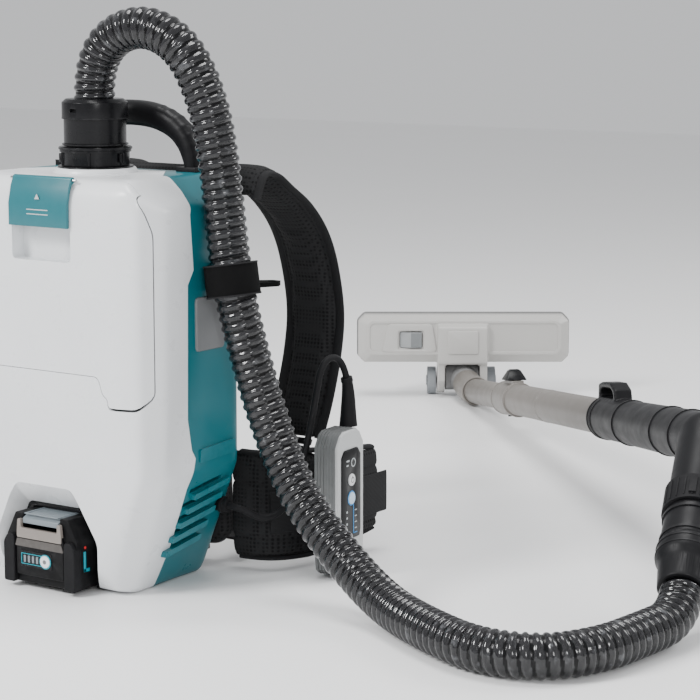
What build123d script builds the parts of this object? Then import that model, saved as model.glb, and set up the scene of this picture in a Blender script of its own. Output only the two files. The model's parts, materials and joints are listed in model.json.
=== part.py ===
"""Backpack vacuum cleaner with hose, telescopic wand and floor nozzle.

Millimetres, +Z up.  The origin is the centre of the pack's base on the floor.  The front of the
pack faces -Y and the wearer stands on the +Y side.  The hose leaves the top of the pack, runs down
its right side and over the floor to the handle, and the wand lies behind the pack.
"""
import os
from math import cos, pi, radians, sin, tan

from build123d import *

os.makedirs("parts", exist_ok=True)

# ---- driving dimensions -------------------------------------------------------------------------
HALF_WIDTH = 112.0          # pack, centre to side
BASE_HALF_WIDTH = 74.0      # pack, at the floor
FRONT_Y = -75.0
REAR_Y = 60.0
PACK_HEIGHT = 357.0
TAPER_TOP = 105.0           # the sides draw in below this height
WALL = 3.0
SEAM = 0.6                  # gap round the dust cover
COVER_SWING_EDGE = 165.9    # lower edge of the cover, high enough to swing clear of the front

COVER_HINGE = (-72.6, 167.5)        # y, z of the dust cover's hinge axis
LATCH_PIVOT = (-70.0, 355.0)        # y, z
PORT_Y = -3.0                       # hose port axis
GLAND_Y = 41.0                      # where the control cable enters the pack
FAN_Y = -10.0                       # motor and fan axis

BATTERY_HALF = 40.0
BATTERY_FRONT = -85.0
BATTERY_BACK = 33.0
BATTERY_BOTTOM = 5.0
BATTERY_TOP = 66.0

HOSE_RADIUS = 18.0
CABLE_RADIUS = 3.0

WAND_FAR = Vector(-148, 876, 20)    # where the inner tube meets the nozzle's elbow
WAND_NEAR = Vector(257, 460, 95)    # where the outer tube enters the handle
INNER_RADIUS = 15.5
OUTER_RADIUS = 17.75
INNER_SHOWN = 164.0                 # inner tube outside the outer tube
CUFF_LENGTH = 44.8
HANDLE_BEND = Vector(465, 247, 133)
HANDLE_END = Vector(503, 141.5, 61)

NOZZLE_ANGLE = 34.6                 # the nozzle's long axis, turned about +Z
NOZZLE_CENTRE = (-194.5, 921.5)
NOZZLE_HALF = 134.0

CONTROL_CENTRE = (179.5, 109.0)
CONTROL_TURN = 6.0

STRAP_INNER_X = 40.0
STRAP_OUTER_X = 100.0
STRAP_THICKNESS = 14.0
BELT_THICKNESS = 14.0
BELT_BOTTOM = 8.0
BELT_TOP = 110.0

# ---- routes of the two flexible lines, (x, y, z) -------------------------------------------------
HOSE_ROUTE = [
    (0, -3, 420), (0, -3, 446), (20, -3, 474), (58, -2, 484), (96, 1, 466),
    (118, 6, 420), (127, 9, 365), (133, 9, 312), (141, 8, 262), (150, 17, 208),
    (168, 21, 150), (200, 17, 92), (248, 13, 46), (306, -8, 18.6), (372, -48, 18.3),
    (436, -76, 18.2), (488, -62, 18.3), (511, -16, 18.2), (516, 32, 18.2), (524.2, 82, 20.5),
    (515.7, 105.8, 36.7),
]
CABLE_ROUTE = [
    (175, 129, 153), (175, 129, 167), (173.6, 124, 184.5), (172.2, 115.2, 194),
    (170.6, 102.8, 194), (169.2, 94.2, 184), (167, 91.5, 164), (160, 89, 124), (152, 86, 86),
    (145, 74, 60), (134, 56, 53), (121, 41.5, 65.5), (108.2, 41, 66),
]

CENTRED = (Align.CENTER, Align.CENTER, Align.MIN)


# ---- helpers ------------------------------------------------------------------------------------
def block(x0, x1, y0, y1, z0, z1):
    """A box between two corners."""
    return Pos((x0 + x1) / 2, (y0 + y1) / 2, (z0 + z1) / 2) * Box(x1 - x0, y1 - y0, z1 - z0)


def carry(plane, outline, distance):
    """The outline, drawn on a plane, carried along the plane's normal."""
    return extrude(plane * Polygon(*outline, align=None), distance, dir=plane.z_dir)


def prism_x(outline, x0, x1):
    """An outline of (y, z) points carried from x0 to x1."""
    plane = Plane((x0, 0, 0), x_dir=(0, 1, 0), z_dir=(1, 0, 0))
    return carry(plane, outline, x1 - x0)


def prism_y(outline, y0, y1):
    """An outline of (x, z) points carried from y0 to y1."""
    plane = Plane((0, y1, 0), x_dir=(1, 0, 0), z_dir=(0, -1, 0))
    return carry(plane, outline, y1 - y0)


def prism_z(outline, z0, z1):
    """An outline of (x, y) points carried from z0 to z1."""
    return carry(Plane.XY.offset(z0), outline, z1 - z0)


def rod(start, end, radius, end_radius=None):
    """A round bar, or a cone, between two points."""
    start, end = Vector(start), Vector(end)
    length = (end - start).length
    if end_radius is None or end_radius == radius:
        shape = Cylinder(radius, length, align=CENTRED)
    else:
        shape = Cone(radius, end_radius, length, align=CENTRED)
    return Plane(start, z_dir=end - start) * shape


def pipe(start, end, outer, inner):
    """A round tube between two points."""
    return rod(start, end, outer) - rod(start, end, inner)


def rod_x(y, z, radius, x0, x1):
    return rod((x0, y, z), (x1, y, z), radius)


def rod_z(x, y, radius, z0, z1):
    return rod((x, y, z0), (x, y, z1), radius)


def mirrored_outline(half):
    """A closed outline from its right-hand half, top to bottom or bottom to top."""
    return half + [(-x, other) for x, other in reversed(half)]


def both_sides(shape):
    """The shape and its mirror image across the middle plane."""
    return shape + mirror(shape, about=Plane.YZ)


def ribbon(line, thickness):
    """The outline of a strip of constant thickness along a flat line."""
    left, right = [], []
    for index, point in enumerate(line):
        before = Vector(*line[max(index - 1, 0)])
        after = Vector(*line[min(index + 1, len(line) - 1)])
        along = (after - before).normalized()
        side = Vector(-along.Y, along.X) * (thickness / 2)
        here = Vector(*point)
        left.append(((here + side).X, (here + side).Y))
        right.append(((here - side).X, (here - side).Y))
    return left + right[::-1]


def corner_radii(route):
    """The largest tangent arc that each corner's two runs leave room for."""
    points = [Vector(*p) for p in route]
    radii = []
    for before, here, after in zip(points, points[1:], points[2:]):
        turn = radians((here - before).get_angle(after - here))
        radii.append(0.45 * min((here - before).length, (after - here).length) / tan(turn / 2))
    return radii


def flexible_line(name, route, radius):
    """A hose or cable: straight runs joined by tangent arcs."""
    radii = corner_radii(route)
    path = FilletPolyline(*route, radius=radii)
    start = Plane(path @ 0, z_dir=path % 0)
    tube = sweep(start * Circle(radius), path=path)
    expected = pi * radius**2 * path.length
    print(name, "length", round(path.length, 1), "volume ratio", round(tube.volume / expected, 4))
    print(name, "radii", [round(r) for r in radii])
    return tube


# ---- pack housing -------------------------------------------------------------------------------
UPPER_PLAN = [(74, -75), (100, -69), (112, -48), (112, 50), (102, 60)]
LOWER_PLAN = [(48, -75), (64, -64), (74, -45), (70, 50), (62, 60)]
SIDE_PROFILE = [
    (-75, 24), (-60, 4), (-46, 0), (50, 0), (60, 12), (60, 345), (50, 357),
    (-56, 357), (-66, 354), (-72, 346), (-75, 332),
]
TOP_CUT = [(150, -10), (150, 312), (108, 334), (84, 357)]
BORDER = [
    (-21, -1), (-15, 40), (-15, 91), (-9, 117), (-14, 125), (-19, 152), (-17, 267),
    (-9, 279), (-13, 326), (-6, 345), (-6, 362),
]
TOP_TONGUE = [(-79, -8), (79, -8), (48, 34), (-48, 34)]


def drawn_in(outline, inset):
    """The outline moved towards the middle by the inset on each axis."""
    return [(x - inset, y + inset if y < 0 else y - inset) for x, y in outline]


def pack_form(inset):
    """The pack's outer form, or its hollow when the inset is the wall's thickness."""
    upper = mirrored_outline(drawn_in(UPPER_PLAN, inset))
    lower = mirrored_outline(drawn_in(LOWER_PLAN, inset))
    column = prism_z(upper, TAPER_TOP, PACK_HEIGHT - inset)
    foot_face = Plane.XY.offset(inset) * Polygon(*lower, align=None)
    waist_face = Plane.XY.offset(TAPER_TOP) * Polygon(*upper, align=None)
    taper = loft([foot_face.face(), waist_face.face()], ruled=True)
    side = [(y + inset if y < 0 else y - inset, z + inset if z < 100 else z - inset)
            for y, z in SIDE_PROFILE]
    top = mirrored_outline([(x - inset, z - inset if z > 300 else z) for x, z in TOP_CUT])
    return (column + taper) & prism_x(side, -HALF_WIDTH, HALF_WIDTH) & prism_y(top, -90, 90)


def front_region():
    """All the space in front of the line where the two housings meet."""
    tongue = prism_z(TOP_TONGUE, 345, 362)
    return prism_x(BORDER + [(-200, 362), (-200, -1)], -150, 150) + tongue


def cover_region(grow):
    """The space that the dust cover takes out of the front, or with a gap all round."""
    half = [
        (61 - grow, 192 - grow), (66 - grow, 177 - grow), (71 - grow, 174 - grow),
        (72 - grow, 165 - grow), (99 + grow, 165 - grow), (107 + grow, 176 - grow), (107 + grow, 313),
        (103 + grow, 332), (89 + grow, 360),
    ]
    face = prism_y(mirrored_outline(half), -95, -40)
    depth = [(-95, 150), (-48, 150), (-48, 330), (-60 + grow, 346), (-60 + grow, 362), (-95, 362)]
    return face & prism_x(depth, -150, 150)


BAY_OUTLINE = [(-57, -2), (57, -2), (57, 47), (36, 80), (28, 91), (-34, 91), (-42, 80), (-57, 47)]
BAY_POCKET = [(-46, 3.4), (46, 3.4), (46, 48), (37, 69), (33, 72), (-33, 72), (-37, 69), (-46, 48)]
BAY_MOUTH_DEPTH = 16.0


def battery_bay():
    """The opening for the battery: a scoop at the front, then a close pocket."""
    front = Plane((0, FRONT_Y, 0), x_dir=(1, 0, 0), z_dir=(0, -1, 0))
    back = Plane((0, FRONT_Y + BAY_MOUTH_DEPTH, 0), x_dir=(1, 0, 0), z_dir=(0, -1, 0))
    faces = [(front * Polygon(*BAY_OUTLINE, align=None)).face(),
             (back * Polygon(*BAY_POCKET, align=None)).face()]
    scoop = loft(faces, ruled=True)
    return scoop + prism_y(BAY_OUTLINE, FRONT_Y - 15, FRONT_Y) + prism_y(BAY_POCKET, -60, 42)


def front_housing():
    shell = (pack_form(0) - pack_form(WALL)) & front_region()
    brow_outline = [(x * 1.06, z + 3 if z > 0 else z) for x, z in BAY_OUTLINE]
    shell += prism_y(brow_outline, -72.5, FRONT_Y + BAY_MOUTH_DEPTH) & pack_form(0.1)
    shell -= cover_region(SEAM)
    shell -= battery_bay()
    sealing_frame = block(-80, 80, -68, -65, 176, 340) - block(-70, 70, -69, -64, 184, 327)
    lower_rib = block(-52, 52, -73, -65, 176, 184)
    upper_rib = block(-40, 40, -66, -56, 334, 340) + block(-40, 40, -58.8, -56, 334, 355)
    hinge_boss = both_sides(rod_x(*COVER_HINGE, 2.4, 58, 69) + block(58, 66, -73, -70.2, 158, 170))
    boss_hole = both_sides(rod_x(*COVER_HINGE, 1.25, 61, 72))
    shell = shell + sealing_frame + lower_rib + upper_rib + hinge_boss - boss_hole
    port_boss = rod_z(0, PORT_Y, 35, PACK_HEIGHT - 1, PACK_HEIGHT + 4)
    return shell + port_boss - rod_z(0, PORT_Y, 24, 340, 370)


def louvre_cuts():
    """Slanted exhaust slots through both flanks of the rear housing."""
    cuts = None
    for step in range(5):
        z = 36 + 12.4 * step
        y0 = -28 + 4.6 * step
        slot = [(y0, z), (y0 + 40, z + 7), (y0 + 40, z + 11), (y0, z + 4)]
        pair = prism_x(slot, 60, 130) + prism_x(slot, -130, -60)
        cuts = pair if cuts is None else cuts + pair
    return cuts


def rear_housing():
    shell = (pack_form(0) - pack_form(WALL)) - front_region()
    shell -= louvre_cuts()
    shell -= rod((80, GLAND_Y, 66), (120, GLAND_Y, 66), 6.0)
    shell -= block(-8, 8, REAR_Y - 5, REAR_Y + 5, 30, 40)
    return shell - battery_bay()


def dust_cover():
    shell = (pack_form(0) - pack_form(WALL)) & cover_region(0)
    pocket = block(-35.5, 35.5, -73.5, -57.5, 283.5, 324.5)
    shell = shell + pocket - block(-33, 33, -90, -60, 286, 322)
    ears = both_sides(rod_x(*LATCH_PIVOT, 2.8, 33.6, 37.5) + block(33.6, 37.5, -72, -67.5, 345, 355))
    bosses = both_sides(rod_x(*COVER_HINGE, 2.4, 72.5, 82) + block(74, 82, -72, -70.2, 166, 174))
    shell -= both_sides(block(70, 105, -90, -40, 160, COVER_SWING_EDGE))
    shell = shell + ears + bosses
    shell -= rod_x(*LATCH_PIVOT, 1.25, -40, 40)
    return shell - both_sides(rod_x(*COVER_HINGE, 1.25, 68, 80))


def cover_seal():
    ring = block(-77, 77, -70, -68, 179, 333) - block(-71.5, 71.5, -71, -67, 184, 328)
    return ring - block(-53, 53, -71, -67, 170, 186)


def cover_hinge_pins():
    return both_sides(rod_x(*COVER_HINGE, 1.2, 61.5, 79.5))


def cover_latch():
    outline = [
        (-79, 315), (-79, 334), (-75.5, 349), (-72.3, 356.4), (-67.6, 356.4), (-67.4, 354),
        (-71.0, 351), (-73.4, 346.5), (-75.6, 334), (-75.6, 315),
    ]
    plate = prism_x(outline, -33, 33) + rod_x(*LATCH_PIVOT, 2.8, -33, 33)
    return plate - rod_x(*LATCH_PIVOT, 1.25, -40, 40)


def latch_pin():
    return rod_x(*LATCH_PIVOT, 1.2, -37, 37)


# ---- hose port ----------------------------------------------------------------------------------
def inlet_port():
    """Fixed spigot under the lock ring; it passes down through the top to the bag plate."""
    spigot = rod_z(0, PORT_Y, 23.6, 344.5, 402)
    flange = rod_z(0, PORT_Y, 33, 361.2, 362.4)
    return spigot + flange - rod_z(0, PORT_Y, 17.5, 340, 410)


def collar_lock_ring():
    ring = rod_z(0, PORT_Y, 29.5, 362.8, 378) + rod_z(0, PORT_Y, 31, 374.5, 379)
    ring -= rod_z(0, PORT_Y, 23.68, 362, 380)
    for step in range(6):
        angle = step * 2 * pi / 6
        bump = rod_z(29.5 * cos(angle), PORT_Y + 29.5 * sin(angle), 1.6, 363.5, 374.5)
        ring += bump
    return ring


def swivel_cuff():
    sleeve = rod_z(0, PORT_Y, 27, 379.6, 404)
    head = rod_z(0, PORT_Y, 28.5, 403, 417) + rod((0, PORT_Y, 417), (0, PORT_Y, 420), 28.5, 25)
    bore = rod_z(0, PORT_Y, 23.68, 379, 402.4) + rod_z(0, PORT_Y, 15, 402, 421)
    slots = block(-3.5, 3.5, -33, -28, 409, 412)
    return sleeve + head - bore - slots


# ---- inside the pack ----------------------------------------------------------------------------
def dust_bag():
    corners = [(-84, -52), (84, -52), (90, -44), (90, 40), (84, 48), (-84, 48), (-90, 40), (-90, -44)]
    body = prism_z(corners, 180, 334)
    neck = rod_z(0, PORT_Y, 26, 333, 338)
    hollow = prism_z([(x * 0.97, y * 0.95) for x, y in corners], 182.5, 331.5)
    card = block(-46, 46, -45, 40, 338, 341.3)
    return body + neck + card - hollow - rod_z(0, PORT_Y, 17.5, 320, 345)


def hepa_filter():
    body = block(-84, 84, -55, 48, 154, 174)
    for step in range(15):
        x = -77 + step * 11
        body -= block(x - 2.6, x + 2.6, -51, 44, 160, 180)
    return body


def fan_housing():
    shell = rod_z(0, FAN_Y, 50, 112, 146) - rod_z(0, FAN_Y, 47, 115, 143)
    shell -= rod_z(0, FAN_Y, 20, 140, 150)
    shell -= rod_z(0, FAN_Y, 12, 110, 116)
    for step in range(4):
        angle = pi / 4 + step * pi / 2
        port = Pos(50 * cos(angle), FAN_Y + 50 * sin(angle), 120) * Box(22, 22, 8)
        shell -= port
    return shell


def impeller():
    wheel = rod_z(0, FAN_Y, 44, 117, 119.5) + rod_z(0, FAN_Y, 9, 117, 137)
    for step in range(7):
        blade = Pos(0, FAN_Y, 127.5) * Rot(0, 0, step * 360 / 7) * Pos(25, 6, 0) * Rot(0, 0, 28)
        wheel += blade * Box(36, 2, 18)
    return wheel - rod_z(0, FAN_Y, 3.02, 110, 140)


def rotor_shaft():
    shaft = rod_z(0, FAN_Y, 3.0, 79.5, 139)
    return shaft + rod_z(0, FAN_Y, 15, 90, 101)


def motor_bearings():
    lower = rod_z(0, FAN_Y, 8, 80, 85) - rod_z(0, FAN_Y, 3.05, 79, 86)
    upper = rod_z(0, FAN_Y, 8, 104, 109) - rod_z(0, FAN_Y, 3.05, 103, 110)
    return lower + upper


def motor_can():
    can = rod_z(0, FAN_Y, 32, 79, 110) - rod_z(0, FAN_Y, 29.5, 81.5, 107.5)
    can -= rod_z(0, FAN_Y, 5, 70, 120)
    seats = rod_z(0, FAN_Y, 11, 79, 86) + rod_z(0, FAN_Y, 11, 103, 110)
    can += seats
    can -= rod_z(0, FAN_Y, 8, 80, 85) + rod_z(0, FAN_Y, 8, 104, 109)
    return can - rod_z(0, FAN_Y, 5, 70, 120)


def motor_mount():
    ring = rod_z(0, FAN_Y, 36, 84, 104) - rod_z(0, FAN_Y, 32.1, 83, 105)
    arms = block(-100, -35.5, FAN_Y - 6, FAN_Y + 6, 90, 98)
    arms += block(35.5, 100, FAN_Y - 6, FAN_Y + 6, 90, 98)
    return ring + arms


def circuit_board():
    board = block(-45, 45, 50, 51.6, 84, 146)
    for x, y0, height in ((-30, 44, 20), (-10, 42, 24), (14, 45, 16), (32, 43, 22)):
        board += block(x - 6, x + 6, y0, 50.2, 90, 90 + height)
    return board


def battery_terminal():
    base = block(-30, 30, 34, 41.4, 20, 60)
    for x in (-18, -6, 6, 18):
        base -= block(x - 1.2, x + 1.2, 33, 38, 28, 52)
    return base


def battery_cradle():
    """Guide that the battery slides into, open at the front and below."""
    outer = prism_y(BAY_POCKET, -58, 44)
    hollow = [(-40.6, -3), (40.6, -3), (40.6, 46.5), (30.6, 66.8), (-30.6, 66.8), (-40.6, 46.5)]
    guide = (outer & block(-60, 60, -60, 41.6, 3.4, 71.8)) - prism_y(hollow, -60, 34)
    return guide - block(-30.4, 30.4, 33, 45, 19.6, 60.4)


# ---- battery ------------------------------------------------------------------------------------
def battery_outline(grow):
    return [(-40 - grow, 5 - grow), (40 + grow, 5 - grow), (40 + grow, 46), (30 + grow, 66 + grow),
            (-30 - grow, 66 + grow), (-40 - grow, 46)]


def battery_case():
    case = prism_y(battery_outline(0), BATTERY_FRONT + 3, BATTERY_BACK)
    face = [(-27, 12), (27, 12), (27, 46), (23, 57), (-23, 57), (-27, 46)]
    case += prism_y(face, BATTERY_FRONT, BATTERY_FRONT + 3.5)
    case += both_sides(block(29, 40, BATTERY_FRONT - 1, BATTERY_FRONT + 3.5, 5, 42))
    case -= prism_y(battery_outline(-2.5), BATTERY_FRONT + 8, BATTERY_BACK - 3)
    case += block(-24, 24, -82, -48, 51.2, 60)
    case -= block(-21, 21, -90, -51, 53, 70)
    return case - rod((7, -90, 27), (7, -80, 27), 5.6)


def battery_button():
    outline = [(-83.5, 57.5), (-52, 57.5), (-52, 66), (-76, 66), (-83.5, 62)]
    return prism_x(outline, -20.4, 20.4)


def battery_trim():
    """Light frame round the release button, and the charge gauge's plate and bars."""
    plate = block(-24, 0.4, -86.1, -85.1, 20.5, 33.5)
    for step in range(4):
        x = -20 + step * 4.6
        plate += block(x, x + 2.2, -86.6, -86.0, 23.5, 30.5)
    frame = block(-24.5, 24.5, -86.2, -85.1, 44, 56.5)
    return plate + frame - block(-20, 20, -88, -84, 52.5, 58)


def gauge_button():
    return rod((7, -86.8, 27), (7, -81.2, 27), 5.3)


def battery_cells():
    cells = None
    for column in range(3):
        for row in range(2):
            x = -22 + column * 22
            z = 18.6 + row * 21.6
            cell = rod((x, -72, z), (x, -4, z), 10.4)
            cells = cell if cells is None else cells + cell
    return cells


# ---- small fittings of the pack ------------------------------------------------------------------
def side_pads():
    return both_sides(block(112, 114, -8, 30, 209, 255))


def housing_screws():
    screws = None
    for x, z in ((-80, 120), (80, 120), (-80, 320), (80, 320)):
        head = rod((x, 60.1, z), (x, 62.1, z), 4)
        head -= rod((x, 61, z), (x, 63, z), 1.6)
        screws = head if screws is None else screws + head
    return screws


def cable_gland():
    body = rod((92, GLAND_Y, 66), (108, GLAND_Y, 66), 5.9)
    return body + rod((101, GLAND_Y, 66), (104, GLAND_Y, 66), 7.6)


def carry_handle():
    """Arched carrying handle with its feet on the top."""
    outer = [(76, 357), (67, 383), (51, 403), (28, 413), (11, 417)]
    inner = [(11, 394), (45, 382), (61, 366), (63, 357)]
    arch = mirrored_outline(outer)
    hole = mirrored_outline(inner[::-1])
    bow = prism_y(arch, 37, 59) - prism_y(hole, 30, 70)
    feet = both_sides(block(58, 80, 34, 59, 357, 361))
    return bow + feet


# ---- harness ------------------------------------------------------------------------------------
def back_frame():
    frame = block(-66, 66, 62.4, 68, 16, 350) - block(-40, 40, 60, 70, 60, 300)
    return frame + block(-66, 66, 62.4, 68, 170, 190) + both_sides(block(55, 66, 60.1, 63, 200, 260))


def back_pad():
    corners = [(-84, 30), (-70, 14), (70, 14), (84, 30), (84, 340), (66, 364), (-66, 364), (-84, 340)]
    pad = prism_y(corners, 68.3, 88)
    return pad - block(-22, 22, 60, 95, 90, 290)


STRAP_LINE = [
    (97, 330), (108, 350), (126, 350), (148, 337), (176, 319), (200, 294), (216, 262),
    (226, 217), (222, 178), (208, 134), (192, 100),
]


def shoulder_straps():
    """Both padded straps."""
    return both_sides(prism_x(ribbon(STRAP_LINE, STRAP_THICKNESS), STRAP_INNER_X, STRAP_OUTER_X))


def harness_webbing():
    """Lower strap webbing, and webbing on the outside of both belt wings with free end tabs."""
    lower = prism_x(ribbon([(188, 92), (176, 66), (152, 40), (122, 26), (89, 22)], 2.4), 57, 83)
    line = [(126.5, 77.8), (145.3, 104.5), (153.6, 138.7), (157.7, 174.5), (158.6, 206), (158.6, 214)]
    return both_sides(lower) + both_sides(prism_z(ribbon(line, 1.8), 36, 74))


def harness_buckles():
    ladder = Pos(70, 190.6, 96) * Rot(-27, 0, 0) * Box(40, 5, 6)
    clasp = block(150.3, 157.3, 207, 214, 40, 70)
    return both_sides(ladder) + both_sides(clasp)


BELT_LINE = [(84.4, 79), (106, 80), (124, 88), (137, 108), (145, 140), (149, 175), (150, 206)]


def waist_belt():
    """Padded wings that curve round the wearer's waist."""
    return both_sides(prism_z(ribbon(BELT_LINE, BELT_THICKNESS), BELT_BOTTOM, BELT_TOP))


def hose_band():
    """Wide fabric band round the hose, held on the pack's side, with a flat ring behind it."""
    centre, along = Vector(139.4, 8.3, 271), Vector(-8, 1, 50).normalized()
    start, end = centre - along * 14, centre + along * 14
    loop = pipe(start, end, HOSE_RADIUS + 5.0, HOSE_RADIUS + 2.0)
    tail = block(112.3, 124, 13, 16, 259, 283)
    tail -= rod(start - along * 5, end + along * 5, HOSE_RADIUS + 2.5)
    outline = [(118, 33.5), (146, 33.5), (156, 52), (152, 60), (144, 60), (118, 38)]
    ring = prism_z(outline, 262, 266) - rod_z(149, 52, 4.2, 250, 280)
    bridge = block(134, 144, 29.3, 36, 262, 266)
    return loop + tail + ring + bridge


# ---- control unit -------------------------------------------------------------------------------
def place_control(shape):
    return Pos(*CONTROL_CENTRE, 0) * Rot(0, 0, CONTROL_TURN) * shape


CONTROL_OUTLINE = [(-22, 8), (-17, 4), (17, 4), (22, 8), (24, 24), (24, 118), (17, 128), (11, 131),
                   (-11, 131), (-17, 128), (-24, 118), (-24, 24)]
PANEL_OUTLINE = [(-15, 34), (15, 34), (17, 40), (17, 108), (12, 114), (-12, 114), (-17, 108), (-17, 40)]
BUTTONS = {"power_button": (87, 5.4), "mode_button": (70.5, 5.4)}


def control_case_front():
    case = prism_x(CONTROL_OUTLINE, 0, 11)
    inner = [(y * 0.88, 67.5 + (z - 67.5) * 0.95) for y, z in CONTROL_OUTLINE]
    case -= prism_x(inner, -1, 8.5)
    return place_control(case - prism_x([(y * 0.97, z) for y, z in PANEL_OUTLINE], 7, 12))


def control_case_back():
    case = prism_x(CONTROL_OUTLINE, -12, -0.2)
    inner = [(y * 0.88, 67.5 + (z - 67.5) * 0.95) for y, z in CONTROL_OUTLINE]
    case -= prism_x(inner, -9, 1)
    for step in range(5):
        z = 30 + step * 9
        case += both_flanks(block(-9, -3, 23.6, 24.6, z, z + 4))
    return place_control(case)


def both_flanks(shape):
    return shape + mirror(shape, about=Plane.XZ)


def control_panel():
    panel = prism_x(PANEL_OUTLINE, 11.0, 11.9) + prism_x([(y * 0.96, z) for y, z in PANEL_OUTLINE], 9, 11)
    for z, radius in BUTTONS.values():
        panel -= rod((5, 0, z), (15, 0, z), radius + 0.1)
    return place_control(panel)


def control_button(name):
    z, radius = BUTTONS[name]
    return place_control(rod((9.4, 0, z), (13.2, 0, z), radius))


def control_strain_relief():
    x, y = 175, 129
    return rod((x, y, 131.2), (x, y, 153), 5.2, 3.9)


def control_clip():
    """Sprung belt clip hinged near its top on the back of the control unit."""
    arm = block(-17.5, -15.2, -9, 9, 42, 116)
    arm += rod((-13.9, -9, 108), (-13.9, 9, 108), 1.75) + block(-16, -13.4, -9, 9, 106.5, 109.5)
    foot = block(-17.5, -13.2, -9, 9, 42, 45)
    return place_control(arm + foot)


# ---- handle and wand ----------------------------------------------------------------------------
WAND_AXIS = (WAND_NEAR - WAND_FAR).normalized()
GRIP_AXIS = (HANDLE_END - HANDLE_BEND).normalized()


def along_wand(distance):
    """A point on the wand's axis, measured from the nozzle end."""
    return WAND_FAR + WAND_AXIS * distance


def across_wand(shape, distance):
    """Places a shape whose Z lies along the wand and whose Y points up from it."""
    plane = Plane(along_wand(distance), x_dir=Vector(0, 0, 1).cross(WAND_AXIS), z_dir=WAND_AXIS)
    return plane * shape


WAND_LENGTH = (WAND_NEAR - WAND_FAR).length


def wand_inner_tube():
    tube = pipe(along_wand(-14), along_wand(WAND_LENGTH - 20), INNER_RADIUS, INNER_RADIUS - 1.5)
    holes = None
    for step in range(6):
        hole = rod((0, 10, 175 + step * 50), (0, 20, 175 + step * 50), 2.6)
        holes = hole if holes is None else holes + hole
    return tube - across_wand(holes, 0)


def wand_outer_tube():
    tube = pipe(along_wand(INNER_SHOWN + 30), WAND_NEAR + WAND_AXIS * 34, OUTER_RADIUS, INNER_RADIUS + 0.1)
    collar = pipe(along_wand(INNER_SHOWN), along_wand(INNER_SHOWN + 62), 19.6, INNER_RADIUS + 0.1)
    base = across_wand(block(-7, 7, 14, 21.6, 20, 56), INNER_SHOWN) - rod(
        along_wand(100), along_wand(400), INNER_RADIUS + 0.1)
    knob_slot = across_wand(block(-5.2, 5.2, 17.6, 30, 26, 50), INNER_SHOWN)
    return tube + collar + base - knob_slot


def wand_lock_knob():
    head = [(-15, 21.8), (15, 21.8), (11, 31), (3, 33.6), (-7, 33.6), (-12, 30)]
    knob = prism_x([(up, along) for along, up in head], -8, 8)
    stem = block(-5, 5, 17.8, 22, -8.5, 8.5)
    return across_wand(knob + stem, INNER_SHOWN + 38)


def handle_shell(outer, reach):
    """Tube along the wand's end, round the bend and down to the hose."""
    upper_end = WAND_NEAR + WAND_AXIS * 60
    shape = rod(WAND_NEAR - WAND_AXIS * reach, upper_end + WAND_AXIS, outer)
    shape += rod(upper_end, HANDLE_BEND, outer, outer + 1.5)
    shape += Pos(*HANDLE_BEND) * Sphere(outer + 1.5)
    return shape + rod(HANDLE_BEND, HANDLE_END + GRIP_AXIS * reach, outer + 1.5, outer + 3)


def grip_handle():
    shape = handle_shell(21.0, 0)
    arch = [(16, 0.5), (34, 4), (36.5, 16), (36.5, 44), (30, 58), (14, 62)]
    window = [(21.5, 8), (29, 10), (31, 18), (31, 44), (27, 52), (21.5, 54)]
    length = WAND_LENGTH
    bow = prism_x(arch, -9, 9) - prism_x(window, -12, 12)
    shape += across_wand(bow, length)
    bore = handle_shell(OUTER_RADIUS - 1.0, 1)
    socket = rod(WAND_NEAR - WAND_AXIS, WAND_NEAR + WAND_AXIS * 34.1, OUTER_RADIUS)
    grooves = pipe(grip_point(-64), grip_point(-36), 40, 22.4)
    return shape - bore - socket - grooves


def grip_point(distance):
    """A point on the grip's axis, measured from the handle's hose end."""
    return HANDLE_END + GRIP_AXIS * distance


def suction_regulator():
    ring = pipe(grip_point(-63.4), grip_point(-36.6), 26.2, 22.47)
    rib = Plane(grip_point(-50), x_dir=Vector(0, 0, 1).cross(GRIP_AXIS), z_dir=GRIP_AXIS)
    return ring + rib * block(-3, 3, 25.4, 28.2, -9, 9)


def handle_hose_cuff():
    shape = rod(grip_point(0.6), grip_point(15), 25.5)
    shape += rod(grip_point(15), grip_point(21), 25.5, 22.5)
    shape += rod(grip_point(21), grip_point(CUFF_LENGTH), 22.5, 20.5)
    return shape - rod(grip_point(0), grip_point(CUFF_LENGTH + 1), 16)


# ---- floor nozzle -------------------------------------------------------------------------------
def place_nozzle(shape):
    """Local X is the nozzle's length, local Y points away from the wand, Z is up."""
    return Pos(*NOZZLE_CENTRE, 0) * Rot(0, 0, NOZZLE_ANGLE) * shape


NECK_V = 20.0       # tilt axis, local Y
NECK_W = 25.0       # tilt axis, height
WHEEL_V = 34.0
WHEEL_W = 17.5


def to_local(point):
    """A world point in the nozzle's own axes."""
    a = radians(NOZZLE_ANGLE)
    x, y = point.X - NOZZLE_CENTRE[0], point.Y - NOZZLE_CENTRE[1]
    return Vector(x * cos(a) + y * sin(a), -x * sin(a) + y * cos(a), point.Z)


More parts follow.
